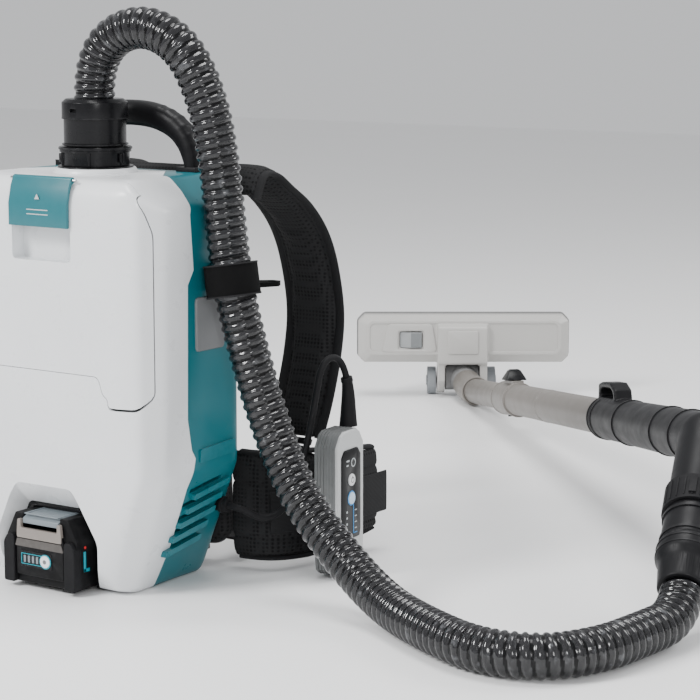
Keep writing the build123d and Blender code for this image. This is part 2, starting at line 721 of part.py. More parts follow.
def nozzle_body():
    outline = [(-134, 53), (-126, 45), (126, 45), (134, 53), (134, 98), (126, 106), (-126, 106), (-134, 98)]
    base = prism_y(outline, 8, 27)
    lower = Plane((0, 8.1, 0), x_dir=(1, 0, 0), z_dir=(0, -1, 0)) * Polygon(*outline, align=None)
    upper_outline = [(-122, 62), (-118, 57), (118, 57), (122, 62), (122, 95), (118, 99), (-118, 99), (-122, 95)]
    upper = Plane((0, -2, 0), x_dir=(1, 0, 0), z_dir=(0, -1, 0)) * Polygon(*upper_outline, align=None)
    body = base + loft([lower.face(), upper.face()], ruled=True)
    hump = [(-10, 92), (-10, 46), (-4, 40), (27, 40), (27, 100), (4, 100)]
    body += prism_x(hump, -33, 30)
    ear = [(-6, 60), (-6, 22), (8, 8), (24, 3), (40, 6), (44, 22), (27, 44), (27, 60)]
    body += prism_x(ear, -33, -23.5) + prism_x(ear, 20.5, 30)
    body -= block(-23, 20, -20, 60, -5, 44)
    body -= block(-122, 122, 12, 30, 56, 92) - block(-23, 20, 11, 30, 56, 92)
    body -= block(-19, 16, 6, 30, 40, 88)
    body -= rod((-60, NECK_V, NECK_W), (60, NECK_V, NECK_W), 4.1)
    axle = rod((-45.5, WHEEL_V, WHEEL_W), (42.5, WHEEL_V, WHEEL_W), 3.0) - block(-24, 21, 0, 60, 0, 60)
    body += axle
    body -= block(-81.5, -52.5, -6, 6, 64.5, 85.5)
    return place_nozzle(body)


def nozzle_sole():
    plate = block(-130, 130, 27.3, 30, 49, 102)
    plate -= block(-112, 112, 25, 32, 66, 84)
    plate -= block(-113, 113, 25, 32, 58, 63) + block(-113, 113, 25, 32, 87, 91.5)
    return place_nozzle(plate)


def brush_carrier():
    """Both brush strips on one frame that moves through the sole."""
    frame = block(-116, 116, 18.5, 21, 58.5, 91) - block(-110, 110, 18, 22, 63, 87)
    frame -= block(-24, 21, 18, 22, 50, 100)
    left = block(-112, -26, 20.5, 27.2, 58.6, 62.4) + block(-112, -26, 20.5, 27.2, 87.6, 90.9)
    right = block(23, 112, 20.5, 27.2, 58.6, 62.4) + block(23, 112, 20.5, 27.2, 87.6, 90.9)
    return place_nozzle(frame + left + right)


ROCKER_PIVOT = (-67.0, 0.5)         # local X, Y
ROCKER_REST = 8.0                   # degrees from level, on the side that hides the bristles


def nozzle_rocker():
    outline = [(-14, 0.5), (14, 0.5), (14, 3.2), (1, 5.6), (-1, 5.6), (-14, 3.2)]
    rocker = prism_z([(x, 1.0 - y) for x, y in outline], 65.2, 84.8)
    rocker += rod_z(0, 0, 1.4, 64.7, 85.3)
    return place_nozzle(Pos(*ROCKER_PIVOT, 0) * Rot(0, 0, -ROCKER_REST) * rocker)


def nozzle_neck():
    """Barrel that tilts between the two ears, with the pipe socket that the elbow turns in."""
    barrel = rod((-22.6, NECK_V, NECK_W), (19.6, NECK_V, NECK_W), 17.5)
    stubs = rod((-32, NECK_V, NECK_W), (29, NECK_V, NECK_W), 4.0)
    start, end = neck_line()
    way = (end - start).normalized()
    socket = rod(start, start + way * 34, 17.2)
    bore = rod(start - way * 3, start + way * 40, 12.5)
    seat = rod(start + way * 20, start + way * 40, 15.2)
    return place_nozzle(barrel + stubs + socket - bore - seat)


def neck_line():
    """Start and knee of the elbow, in the nozzle's own axes."""
    return Vector(-1.5, NECK_V, NECK_W), Vector(7, -36, 18.8)


def nozzle_elbow():
    start, knee = neck_line()
    way = (knee - start).normalized()
    end = to_local(WAND_FAR)
    tail = (end - knee).normalized()
    shape = rod(start + way * 20.5, start + way * 36, 15.15)
    shape += rod(start + way * 34.5, knee, 18.0) + Pos(*knee) * Sphere(18.0)
    shape += rod(knee, end, 18.0)
    bore = rod(start + way * 10, knee, 12.5) + Pos(*knee) * Sphere(12.5) + rod(knee, end + tail, 12.5)
    wand = (to_local(WAND_NEAR) - end).normalized()
    socket = rod(end - wand * 14.2, end + wand * 20, INNER_RADIUS + 0.02)
    return place_nozzle(shape - bore - socket)


def nozzle_wheel(sign):
    x0, x1 = (-45, -34) if sign < 0 else (31, 42)
    wheel = rod((x0, WHEEL_V, WHEEL_W), (x1, WHEEL_V, WHEEL_W), WHEEL_W)
    outer = rod((x0, WHEEL_V, WHEEL_W), (x0 + 1.5, WHEEL_V, WHEEL_W), 12) if sign < 0 else rod(
        (x1 - 1.5, WHEEL_V, WHEEL_W), (x1, WHEEL_V, WHEEL_W), 12)
    return place_nozzle(wheel - outer - rod((x0 - 1, WHEEL_V, WHEEL_W), (x1 + 1, WHEEL_V, WHEEL_W), 3.05))


# ---- all sub-parts ------------------------------------------------------------------------------
PARTS = [
    front_housing, rear_housing, dust_cover, cover_seal, cover_hinge_pins, cover_latch, latch_pin,
    inlet_port, collar_lock_ring, swivel_cuff, dust_bag, hepa_filter, fan_housing, impeller,
    rotor_shaft, motor_bearings, motor_can, motor_mount, circuit_board, battery_terminal,
    battery_cradle, battery_case, battery_button, battery_trim, gauge_button, battery_cells,
    side_pads, housing_screws, cable_gland, carry_handle, back_frame, back_pad, shoulder_straps,
    waist_belt, harness_webbing, harness_buckles, hose_band, control_case_front, control_case_back,
    control_panel, control_strain_relief, control_clip, wand_inner_tube, wand_outer_tube,
    wand_lock_knob, grip_handle, suction_regulator, handle_hose_cuff, nozzle_body, nozzle_sole,
    brush_carrier, nozzle_rocker, nozzle_neck, nozzle_elbow,
]

for make in PARTS:
    export_step(make(), f"parts/{make.__name__}.step")
for side_name, side_sign in (("left", -1), ("right", 1)):
    export_step(nozzle_wheel(side_sign), f"parts/nozzle_wheel_{side_name}.step")
for name in BUTTONS:
    export_step(control_button(name), f"parts/{name}.step")
export_step(flexible_line("hose", HOSE_ROUTE, HOSE_RADIUS), "parts/hose.step")
export_step(flexible_line("control_cable", CABLE_ROUTE, CABLE_RADIUS), "parts/control_cable.step")
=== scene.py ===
"""Looks of the backpack vacuum cleaner, in metres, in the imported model's own frame."""

import json
from math import copysign, cos, radians, sin, sqrt, tau

import bmesh
import bpy
import numpy as np
from mathutils import Matrix, Vector


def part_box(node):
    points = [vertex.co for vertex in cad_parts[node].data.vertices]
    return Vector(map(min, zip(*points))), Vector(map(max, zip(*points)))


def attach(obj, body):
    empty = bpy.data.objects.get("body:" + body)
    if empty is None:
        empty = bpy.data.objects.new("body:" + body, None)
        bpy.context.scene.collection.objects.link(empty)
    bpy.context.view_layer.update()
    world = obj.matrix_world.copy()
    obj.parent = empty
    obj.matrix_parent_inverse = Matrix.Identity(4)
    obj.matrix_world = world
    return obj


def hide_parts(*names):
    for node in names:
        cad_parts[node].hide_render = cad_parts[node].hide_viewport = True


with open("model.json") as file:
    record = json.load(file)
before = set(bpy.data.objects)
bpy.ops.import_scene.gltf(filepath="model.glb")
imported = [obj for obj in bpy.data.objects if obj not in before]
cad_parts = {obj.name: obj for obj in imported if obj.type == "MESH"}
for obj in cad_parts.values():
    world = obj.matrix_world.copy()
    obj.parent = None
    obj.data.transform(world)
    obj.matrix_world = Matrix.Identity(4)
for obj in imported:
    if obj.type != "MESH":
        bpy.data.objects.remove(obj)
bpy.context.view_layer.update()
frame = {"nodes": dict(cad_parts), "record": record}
NODES = frame["nodes"]
BODY_OF = {node: body for body, nodes in frame["record"]["behaviour"]["bodies"].items() for node in nodes}
SLOT_OF = {part["node"]: part["material_slot"] for part in frame["record"]["subparts"]}
MM = 0.001

# ---- routes of the two flexible lines, control points ---------------------------------------------------
HOSE_ROUTE = [
    (0, -3, 420), (0, -3, 446), (20, -3, 474), (58, -2, 484), (96, 1, 466),
    (118, 6, 420), (127, 9, 365), (133, 9, 312), (141, 8, 262), (150, 17, 208),
    (168, 21, 150), (200, 17, 92), (248, 13, 46), (306, -8, 18.6), (372, -48, 18.3),
    (436, -76, 18.2), (488, -62, 18.3), (511, -16, 18.2), (516, 32, 18.2), (524.2, 82, 20.5),
    (515.7, 105.8, 36.7),
]
CABLE_ROUTE = [
    (175, 129, 153), (175, 129, 167), (173.6, 124, 184.5), (172.2, 115.2, 194),
    (170.6, 102.8, 194), (169.2, 94.2, 184), (167, 91.5, 164), (160, 89, 124), (152, 86, 86),
    (145, 74, 60), (134, 56, 53), (121, 41.5, 65.5), (108.2, 41, 66),
]
HOSE_RADIUS = 0.018
CABLE_RADIUS = 0.003
HOSE_PITCH = 0.0085
HOSE_VALLEY = 0.0163


# ---- camera, light and floor ----------------------------------------------------------------------------
CAMERA_PLACE = (1288.9, -1482.4, 509.2)
CAMERA_AZIMUTH = radians(34.61)
CAMERA_ELEVATION = radians(9.01)
CAMERA_LENS = 115.55
LIGHTS = {                  # place, target, size, power
    "key": ((-0.9, -1.9, 1.9), (0.1, 0.1, 0.15), 0.9, 78),
    "front_fill": ((1.9, -1.7, 1.0), (0.2, 0.2, 0.1), 0.7, 26),
    "back_rim": ((1.5, 2.0, 1.6), (0.1, 0.3, 0.15), 1.0, 26),
    "top": ((0.1, 0.3, 2.3), (0.1, 0.3, 0), 1.1, 34),
}


def make_camera():
    """Camera at the photograph's angle."""
    level = cos(CAMERA_ELEVATION)
    back = Vector((sin(CAMERA_AZIMUTH) * level, -cos(CAMERA_AZIMUTH) * level, sin(CAMERA_ELEVATION)))
    data = bpy.data.cameras.new("camera")
    data.sensor_width = 36.0
    data.lens = CAMERA_LENS
    data.clip_end = 20.0
    camera = bpy.data.objects.new("camera", data)
    bpy.context.scene.collection.objects.link(camera)
    camera.location = Vector(CAMERA_PLACE) * MM
    camera.rotation_mode = "QUATERNION"
    camera.rotation_quaternion = (-back).to_track_quat("-Z", "Y")
    bpy.context.scene.camera = camera


def make_light(name, place, target, size, power):
    """A round area lamp turned to its target."""
    data = bpy.data.lights.new(name, "AREA")
    data.shape = "DISK"
    data.size = size
    data.energy = power
    lamp = bpy.data.objects.new(name, data)
    bpy.context.scene.collection.objects.link(lamp)
    lamp.location = place
    lamp.rotation_euler = (Vector(target) - Vector(place)).to_track_quat("-Z", "Y").to_euler()


def make_studio():
    """Pale world, four soft lamps and a plain floor."""
    world = bpy.data.worlds.new("studio")
    bpy.context.scene.world = world
    world.use_nodes = True
    backdrop = world.node_tree.nodes["Background"]
    backdrop.inputs["Color"].default_value = (0.97, 0.98, 1.0, 1)
    backdrop.inputs["Strength"].default_value = 0.72
    for name, facts in LIGHTS.items():
        make_light(name, *facts)
    bpy.ops.mesh.primitive_plane_add(size=12, location=(0, 0, 0))
    floor = bpy.context.object
    floor.name = "floor"
    floor.data.materials.append(plain_floor())


# ---- node materials -------------------------------------------------------------------------------------
class Paint:
    """One procedural material: a Principled shader with its colour, roughness and bump chains."""

    def __init__(self, name, colour, roughness, **constants):
        self.material = bpy.data.materials.new(name)
        self.material.use_nodes = True
        self.tree = self.material.node_tree
        self.shader = self.tree.nodes["Principled BSDF"]
        self.place = self.node("ShaderNodeTexCoord").outputs["Object"]
        self.shader.inputs["Base Color"].default_value = (*colour, 1)
        self.shader.inputs["Roughness"].default_value = roughness
        for socket, value in constants.items():
            self.shader.inputs[socket.replace("_", " ")].default_value = value
        self.base = colour
        self.colour = None
        self.height = None
        self.material.diffuse_color = (*colour, 1)

    def node(self, kind, **settings):
        made = self.tree.nodes.new(kind)
        for key, value in settings.items():
            setattr(made, key, value)
        return made

    def join(self, source, target):
        self.tree.links.new(source, target)
        return self

    def texture(self, kind, output, values, **settings):
        """A texture node on the object's own coordinates."""
        made = self.node(kind, **settings)
        for socket, value in values.items():
            made.inputs[socket].default_value = value
        self.join(self.place, made.inputs["Vector"])
        return made.outputs[output]

    def noise(self, scale, detail=3.0):
        values = {"Scale": scale, "Detail": detail, "Roughness": 0.55}
        return self.texture("ShaderNodeTexNoise", "Fac", values)

    def cells(self, scale):
        return self.texture("ShaderNodeTexVoronoi", "Distance", {"Scale": scale, "Randomness": 0.0})

    def waves(self, scale, direction, distortion):
        values = {"Scale": scale, "Distortion": distortion, "Detail Scale": 2.0}
        return self.texture("ShaderNodeTexWave", "Fac", values, bands_direction=direction)

    def ramp(self, value, low, high, start=0.0, end=1.0):
        """Maps the range from low to high onto start to end."""
        made = self.node("ShaderNodeMapRange")
        for socket, limit in zip(("From Min", "From Max", "To Min", "To Max"), (low, high, start, end)):
            made.inputs[socket].default_value = limit
        self.join(value, made.inputs["Value"])
        return made.outputs["Result"]

    def product(self, first, second):
        made = self.node("ShaderNodeMath", operation="MULTIPLY")
        self.join(first, made.inputs[0])
        self.join(second, made.inputs[1])
        return made.outputs["Value"]

    def tint(self, factor, colour):
        """Mixes another colour in where the factor is high."""
        made = self.node("ShaderNodeMix", data_type="RGBA")
        sockets = [s for s in made.inputs if s.type == "RGBA"]
        sockets[0].default_value = (*self.base, 1)
        sockets[1].default_value = (*colour, 1)
        if self.colour is not None:
            self.join(self.colour, sockets[0])
        self.join(factor, made.inputs["Factor"])
        self.colour = [s for s in made.outputs if s.type == "RGBA"][0]
        self.join(self.colour, self.shader.inputs["Base Color"])
        return self

    def shade(self, scale, amount):
        """Slow colour variation round the base colour."""
        dark = tuple(c * (1 - amount) for c in self.base)
        return self.tint(self.ramp(self.noise(scale), 0.3, 0.75), dark)

    def wear_and_highlight(self, amount):
        """Rubbed edges with a painted edge highlight: a lighter colour, in patches, where the surface is
        convex.
        """
        geometry = self.node("ShaderNodeNewGeometry")
        edge = self.ramp(geometry.outputs["Pointiness"], 0.52, 0.62, 0, amount)
        rubbed_and_highlit = self.product(edge, self.ramp(self.noise(160), 0.35, 0.7))
        # lighter convex edges: partly rubbed wear, partly a painted highlight
        return self.tint(rubbed_and_highlit, tuple(min(1.0, c * 1.5 + 0.05) for c in self.base))

    def scuff(self, scale, low, high):
        """Roughness that varies slowly over the surface."""
        return self.join(self.ramp(self.noise(scale, 5), 0.3, 0.75, low, high),
                         self.shader.inputs["Roughness"])

    def bump(self, height, strength, distance):
        made = self.node("ShaderNodeBump")
        made.inputs["Strength"].default_value = strength
        made.inputs["Distance"].default_value = distance
        self.join(height, made.inputs["Height"])
        if self.height is not None:
            self.join(self.height, made.inputs["Normal"])
        self.height = made.outputs["Normal"]
        return self.join(self.height, self.shader.inputs["Normal"])

    def grain(self, scale, strength, distance=0.0002):
        return self.bump(self.noise(scale, 2), strength, distance)


def plain_floor():
    paint = Paint("floor_white", (0.9, 0.9, 0.9), 0.5)
    return paint.shade(3, 0.01).grain(400, 0.03).material


def moulded(name, colour, roughness, grain, wear_and_highlight, **constants):
    """Injection-moulded plastic: fine spark texture, slight tone changes, rubbed edges with a painted edge
    highlight.
    """
    paint = Paint(name, colour, roughness, **constants)
    # convex edges lightened: partly rubbed wear, partly a painted highlight
    paint.shade(14, 0.05).wear_and_highlight(wear_and_highlight).scuff(60, roughness * 0.85, min(1.0, roughness * 1.2))
    return paint.grain(2600, grain, 0.00008).material


def mesh_cloth(name, colour):
    """Black spacer mesh: rows of small round holes with a soft sheen."""
    paint = Paint(name, colour, 0.9, Specular_IOR_Level=0.2)
    holes = paint.ramp(paint.cells(270), 0.18, 0.5)
    paint.shade(30, 0.35).tint(paint.ramp(holes, 0, 1, 0, 0.8), tuple(c * 2.2 + 0.009 for c in colour))
    return paint.bump(holes, 0.8, 0.0006).material


def woven(name, colour, direction, pitch_scale=260.0, gloss=0.3):
    """Woven webbing: ribs across the tape and a finer thread along it."""
    paint = Paint(name, colour, 0.85, Specular_IOR_Level=gloss)
    other = "X" if direction == "Z" else "Z"
    ribs = paint.waves(pitch_scale, direction, 0.3)
    threads = paint.waves(pitch_scale * 2.1, other, 0.6)
    paint.shade(40, 0.3).tint(paint.ramp(ribs, 0.3, 1, 0, 0.5), tuple(c * 2.2 + 0.005 for c in colour))
    paint.bump(ribs, 0.6, 0.0004)
    return paint.bump(threads, 0.35, 0.0002).material


def metal(name, colour, roughness):
    """Brushed metal: fine lines and slow changes of gloss."""
    paint = Paint(name, colour, roughness, Metallic=1.0)
    paint.shade(30, 0.15).scuff(90, roughness * 0.7, roughness * 1.3)
    return paint.bump(paint.waves(900, "Z", 2.0), 0.05, 0.00005).material


def hose_film():
    """Smoky clear skin between the ribs."""
    paint = Paint("hose_film", (0.003, 0.003, 0.0035), 0.2, Alpha=0.97, Specular_IOR_Level=0.2)
    paint.shade(90, 0.4).tint(paint.ramp(paint.noise(190), 0.58, 0.75, 0, 0.3), (0.04, 0.041, 0.045))
    return paint.grain(300, 0.1, 0.0003).material


def hose_rib():
    """Clear round rib of the helix, with pale patches painted in for its glints and the light refracted
    through it.
    """
    paint = Paint("hose_rib", (0.012, 0.012, 0.0135), 0.13, Alpha=0.9, Specular_IOR_Level=0.35,
                  Coat_Weight=0.3, Coat_Roughness=0.05)
    # painted highlight: pale grey patches stand in for glints and light refracted through the clear rib
    paint.tint(paint.ramp(paint.noise(110), 0.58, 0.72, 0, 0.5), (0.13, 0.134, 0.142))
    return paint.grain(200, 0.05, 0.0003).material


def filter_weave():
    """Soft pale non-woven cloth."""
    paint = Paint("filter_cloth", (0.55, 0.54, 0.5), 0.95, Sheen_Weight=0.2)
    return paint.shade(60, 0.15).grain(1500, 0.6, 0.0005).material


BLACKS = {                  # colour, roughness, grain, edge wear with painted edge highlight
    "black_rubber": ((0.007, 0.007, 0.008), 0.6, 0.3, 0.3),
    "black_plastic": ((0.006, 0.006, 0.007), 0.27, 0.08, 0.35),
    "black_handle": ((0.007, 0.007, 0.008), 0.42, 0.18, 0.3),
    "gloss_black": ((0.004, 0.004, 0.005), 0.16, 0.05, 0.3),
}
PLASTICS = {                # colour, roughness, grain, edge wear with painted edge highlight
    "teal_shell": ((0.0, 0.122, 0.15), 0.32, 0.05, 0.2),
    "teal_latch": ((0.008, 0.12, 0.145), 0.36, 0.1, 0.3),
    "grey_plastic": ((0.2, 0.21, 0.22), 0.45, 0.08, 0.25),
    "release_grey": ((0.17, 0.2, 0.22), 0.42, 0.2, 0.2),
    "taupe_trim": ((0.21, 0.185, 0.165), 0.4, 0.2, 0.25),
    "taupe_dark": ((0.06, 0.053, 0.048), 0.45, 0.2, 0.25),
    "white_key": ((0.78, 0.79, 0.8), 0.35, 0.05, 0.05),
    "blue_key": ((0.55, 0.7, 0.85), 0.35, 0.05, 0.05),
    "soft_grey": ((0.16, 0.165, 0.17), 0.7, 0.5, 0.1),
    "light_grey": ((0.5, 0.51, 0.51), 0.45, 0.2, 0.1),
    "mid_grey": ((0.13, 0.135, 0.135), 0.5, 0.25, 0.2),
    "wand_grey": ((0.165, 0.152, 0.138), 0.36, 0.1, 0.15),
    "nozzle_white": ((0.43, 0.422, 0.405), 0.36, 0.12, 0.1),
    "nozzle_grey": ((0.17, 0.17, 0.17), 0.5, 0.15, 0.15),
    "rocker_grey": ((0.27, 0.28, 0.285), 0.5, 0.3, 0.1),
    "rocker_dark": ((0.16, 0.17, 0.175), 0.5, 0.3, 0.1),
    "wheel_grey": ((0.22, 0.235, 0.25), 0.5, 0.15, 0.1),
    "print_light": ((0.45, 0.48, 0.49), 0.5, 0.02, 0.0),
    "print_teal": ((0.0, 0.3, 0.38), 0.4, 0.02, 0.0),
    "print_blue": ((0.02, 0.25, 0.6), 0.4, 0.02, 0.0),
    "print_red": ((0.6, 0.01, 0.01), 0.4, 0.02, 0.0),
    "cell_wrap": ((0.05, 0.2, 0.12), 0.3, 0.08, 0.25),
    "circuit_board": ((0.01, 0.09, 0.035), 0.4, 0.3, 0.25),
    "filter_paper": ((0.7, 0.7, 0.67), 0.95, 0.8, 0.0),
}


def make_materials():
    """The record's material slots and the few extra finishes, by name."""
    made = {name: moulded(name, *facts) for name, facts in PLASTICS.items()}
    made.update({name: moulded(name, *facts, Specular_IOR_Level=0.18) for name, facts in BLACKS.items()})
    made.update({
        "white_shell": moulded("white_shell", (0.74, 0.755, 0.77), 0.3, 0.04, 0.1, Coat_Weight=0.15,
                               Coat_Roughness=0.2),
        "battery_plastic": moulded("battery_plastic", (0.004, 0.004, 0.0045), 0.36, 0.15, 0.5,
                                   Specular_IOR_Level=0.12),
        "panel_black": moulded("panel_black", (0.006, 0.006, 0.007), 0.35, 0.05, 0.1,
                               Specular_IOR_Level=0.25),
        "steel": metal("steel", (0.55, 0.55, 0.56), 0.25),
        "motor_metal": metal("motor_metal", (0.42, 0.42, 0.43), 0.35),
        "mesh_fabric": mesh_cloth("mesh_fabric", (0.006, 0.006, 0.0065)),
        "binding": woven("binding", (0.009, 0.009, 0.010), "Z", 420.0),
        "webbing": woven("webbing", (0.011, 0.011, 0.012), "Z"),
        "band_fabric": woven("band_fabric", (0.003, 0.003, 0.0032), "Z", 700.0, 0.1),
        "bristle": woven("bristle", (0.05, 0.05, 0.05), "X", 500.0),
        "hose_film": hose_film(),
        "smoke_hose": hose_rib(),
        "filter_cloth": filter_weave(),
    })
    return made


# ---- mesh helpers ---------------------------------------------------------------------------------------
def new_object(name, mesh, material, body, slot=None):
    """Links a mesh as a piece that rides on a body and takes the named finish if it has none; slot is not
    used.
    """
    piece = bpy.data.objects.new(name, mesh)
    bpy.context.scene.collection.objects.link(piece)
    if not mesh.materials:
        mesh.materials.append(PAINTS[material])
    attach(piece, body)
    return piece


def to_mesh(bm, name):
    """A mesh from a bmesh, with its faces turned outward."""
    mesh = bpy.data.meshes.new(name)
    bmesh.ops.recalc_face_normals(bm, faces=bm.faces)
    bm.to_mesh(mesh)
    bm.free()
    return mesh


def smooth_by_angle(mesh, degrees=35.0):
    """Smooth faces, with an edge kept sharp where its faces meet at more than the angle."""
    bm = bmesh.new()
    bm.from_mesh(mesh)
    limit = radians(degrees)
    for face in bm.faces:
        face.smooth = True
    for edge in bm.edges:
        edge.smooth = len(edge.link_faces) == 2 and edge.calc_face_angle(0) < limit
    bm.to_mesh(mesh)
    bm.free()


def apply_modifiers(piece):
    """Makes the piece's modifiers part of its mesh."""
    bpy.context.view_layer.update()
    graph = bpy.context.evaluated_depsgraph_get()
    mesh = bpy.data.meshes.new_from_object(piece.evaluated_get(graph))
    piece.modifiers.clear()
    piece.data = mesh


def bevel_modifier(piece, width, segments=3, angle=32.0):
    """Rounds the edges that are sharper than the angle."""
    made = piece.modifiers.new("soft_edges", "BEVEL")
    made.width = width
    made.segments = segments
    made.limit_method = "ANGLE"
    made.angle_limit = radians(angle)


def beveled(piece, width, segments=3, angle=32.0, smooth=35.0):
    """Rounds the edges, makes that part of the mesh and shades it again."""
    bevel_modifier(piece, width, segments, angle)
    apply_modifiers(piece)
    smooth_by_angle(piece.data, smooth)



def clean_copy(node):
    """A CAD node's mesh, welded and with its flat faces made whole."""
    bm = bmesh.new()
    bm.from_mesh(NODES[node].data)
    bmesh.ops.remove_doubles(bm, verts=bm.verts, dist=2e-6)
    bmesh.ops.dissolve_limit(bm, angle_limit=radians(0.6), verts=bm.verts, edges=bm.edges)
    return to_mesh(bm, node + "_skin")


def dressed(node, material=None, bevel=0.0006, segments=3, angle=32.0, name=None):
    """A CAD node with softened edges and a finished material, in the CAD node's place."""
    slot = SLOT_OF[node]
    piece = new_object(name or node + "_skin", clean_copy(node), material or slot, BODY_OF[node], slot)
    if bevel:
        bevel_modifier(piece, bevel, segments, angle)
        apply_modifiers(piece)
    smooth_by_angle(piece.data)
    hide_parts(node)
    return piece


def melted(node, voxel, rounds, material=None, factor=0.5):
    """A CAD node whose edges are blended by remeshing and smoothing it."""
    slot = SLOT_OF[node]
    piece = new_object(node + "_skin", clean_copy(node), material or slot, BODY_OF[node], slot)
    blend_edges(piece, voxel, rounds, factor)
    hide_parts(node)
    return piece


def blend_edges(piece, voxel, rounds=0, factor=0.5):
    """Remeshes a piece in voxels, smooths it and keeps its materials."""
    remesh = piece.modifiers.new("voxels", "REMESH")
    remesh.mode = "VOXEL"
    remesh.voxel_size = voxel
    if rounds:
        soften = piece.modifiers.new("soften", "SMOOTH")
        soften.factor = factor
        soften.iterations = rounds
    materials = list(piece.data.materials)
    apply_modifiers(piece)
    piece.data.materials.clear()
    for material in materials:
        piece.data.materials.append(material)
    for polygon in piece.data.polygons:
        polygon.use_smooth = True


def join_rings(bm, first, second):
    """A band of faces between two rings of points."""
    count = len(first)
    for k in range(count):
        m = (k + 1) % count
        bm.faces.new((first[k], first[m], second[m], second[k]))


def close_rings(bm, rings):
    """A closed solid through a row of rings."""
    for first, second in zip(rings, rings[1:]):
        join_rings(bm, first, second)
    bm.faces.new(rings[0])
    bm.faces.new(rings[-1][::-1])
    return bm


def close_loop(bm, rings):
    """A closed ring-shaped solid: the last ring joins the first."""
    for k, first in enumerate(rings):
        join_rings(bm, first, rings[(k + 1) % len(rings)])
    return bm


def outline_ring(bm, outline, axis, depth):
    """An outline in millimetres as points at a depth along X, Y or Z."""
    order = {
        "x": lambda a, b: (depth, a, b),
        "y": lambda a, b: (a, depth, b),
        "z": lambda a, b: (a, b, depth),
    }
    return [bm.verts.new(Vector(order[axis](a, b)) * MM) for a, b in outline]


def prism(outline, axis, low, high):
    """A closed solid: a flat outline in millimetres carried along X, Y or Z."""
    bm = bmesh.new()
    return close_rings(bm, [outline_ring(bm, outline, axis, depth) for depth in (low, high)])


def frame_prism(outer, inner, axis, low, high):
    """A closed frame between two outlines that have the same number of points."""
    bm = bmesh.new()
    corners = ((outer, low), (inner, low), (inner, high), (outer, high))
    return close_loop(bm, [outline_ring(bm, outline, axis, depth) for outline, depth in corners])


def rounded_outline(points, radius, steps=5):
    """The outline with each corner rounded by a short curve."""
    made = []
    count = len(points)
    for i, point in enumerate(points):
        here = Vector(point)
        before, after = Vector(points[i - 1]), Vector(points[(i + 1) % count])
        reach = min(radius, (before - here).length * 0.45, (after - here).length * 0.45)
        start = here + (before - here).normalized() * reach
        end = here + (after - here).normalized() * reach
        for step in range(steps + 1):
            t = step / steps
            made.append(tuple(start * (1 - t) ** 2 + here * 2 * t * (1 - t) + end * t * t))
    return made


def signed_power(value, power):
    """A power of the value's size, with the value's sign."""
    return copysign(abs(value) ** power, value)


def mirrored_outline(half):
    """A half outline of (x, z) points with its mirror image."""
    return half + [(-x, z) for x, z in reversed(half)]


def boolean(piece, other, operation):
    """Combines a piece with another solid, which is used up."""
    cut = piece.modifiers.new("cut", "BOOLEAN")
    cut.operation = operation
    cut.solver = "EXACT"
    cut.object = other
    apply_modifiers(piece)
    bpy.data.objects.remove(other)


def loose_solid(bm, name, index=0):
    """A helper solid for cutting; its faces carry a material index."""
    for face in bm.faces:
        face.material_index = index
    piece = bpy.data.objects.new(name, to_mesh(bm, name))
    piece.data.materials.append(None)
    piece.data.materials.append(None)
    bpy.context.scene.collection.objects.link(piece)
    return piece


def parallel_frames(points):
    """Tangent and two side directions at each point, without twist."""
    points = [Vector(p) for p in points]
    tangents = []
    for i in range(len(points)):
        a, b = points[max(i - 1, 0)], points[min(i + 1, len(points) - 1)]
        tangents.append((b - a).normalized())
    side = tangents[0].orthogonal().normalized()
    frames = []
    for tangent in tangents:
        side = (side - tangent * side.dot(tangent)).normalized()
        frames.append((tangent, side, tangent.cross(side)))
    return frames


def swept(points, section, sides, up=None):
    """A tube along points; section(i, angle) gives each ring point's (side, rise) in metres."""
    bm = bmesh.new()
    frames = parallel_frames(points)
    rings = []
    for i, (point, (tangent, side, rise)) in enumerate(zip(points, frames)):
        if up is not None:
            side = tangent.cross(Vector(up)).normalized()
            rise = side.cross(tangent).normalized()
        ring = []
        for k in range(sides):
            across, high = section(i, tau * k / sides)
            ring.append(bm.verts.new(Vector(point) + side * across + rise * high))
        rings.append(ring)
    return close_rings(bm, rings)


def smooth_line(points, per_run=8):
    """Points on a smooth curve through the given points (metres)."""
    points = [Vector(p) for p in points]
    made = []
    for i in range(len(points) - 1):
        p0, p1 = points[max(i - 1, 0)], points[i]
        p2, p3 = points[i + 1], points[min(i + 2, len(points) - 1)]
        for step in range(per_run):
            t = step / per_run
            made.append(0.5 * (2 * p1 + (p2 - p0) * t + (2 * p0 - 5 * p1 + 4 * p2 - p3) * t * t
                               + (3 * p1 - p0 - 3 * p2 + p3) * t ** 3))
    made.append(points[-1])
    return made


def nurbs_points(route, name):
    """Points read from the route's own NURBS spline."""
    data = bpy.data.curves.new(name, "CURVE")
    data.dimensions = "3D"
    data.resolution_u = 24
    spline = data.splines.new("NURBS")
    spline.points.add(len(route) - 1)
    for point, place in zip(spline.points, route):
        point.co = (*(Vector(place) * MM), 1)
    spline.order_u = 3
    spline.use_endpoint_u = True
    line = bpy.data.objects.new(name, data)
    bpy.context.scene.collection.objects.link(line)
    bpy.context.view_layer.update()
    mesh = bpy.data.meshes.new_from_object(line)
    points = [v.co.copy() for v in mesh.vertices]
    bpy.data.objects.remove(line)
    return points


def even_points(points, step):
    """The same line at an even spacing."""
    points = [Vector(p) for p in points]
    lengths = [0.0]
    for a, b in zip(points, points[1:]):
        lengths.append(lengths[-1] + (b - a).length)
    count = max(2, int(round(lengths[-1] / step)))
    made = []
    k = 0
    for i in range(count + 1):
        target = lengths[-1] * i / count
        while k < len(points) - 2 and lengths[k + 1] < target:
            k += 1
        run = max(lengths[k + 1] - lengths[k], 1e-9)
        made.append(points[k].lerp(points[k + 1], min(1.0, (target - lengths[k]) / run)))
    return made


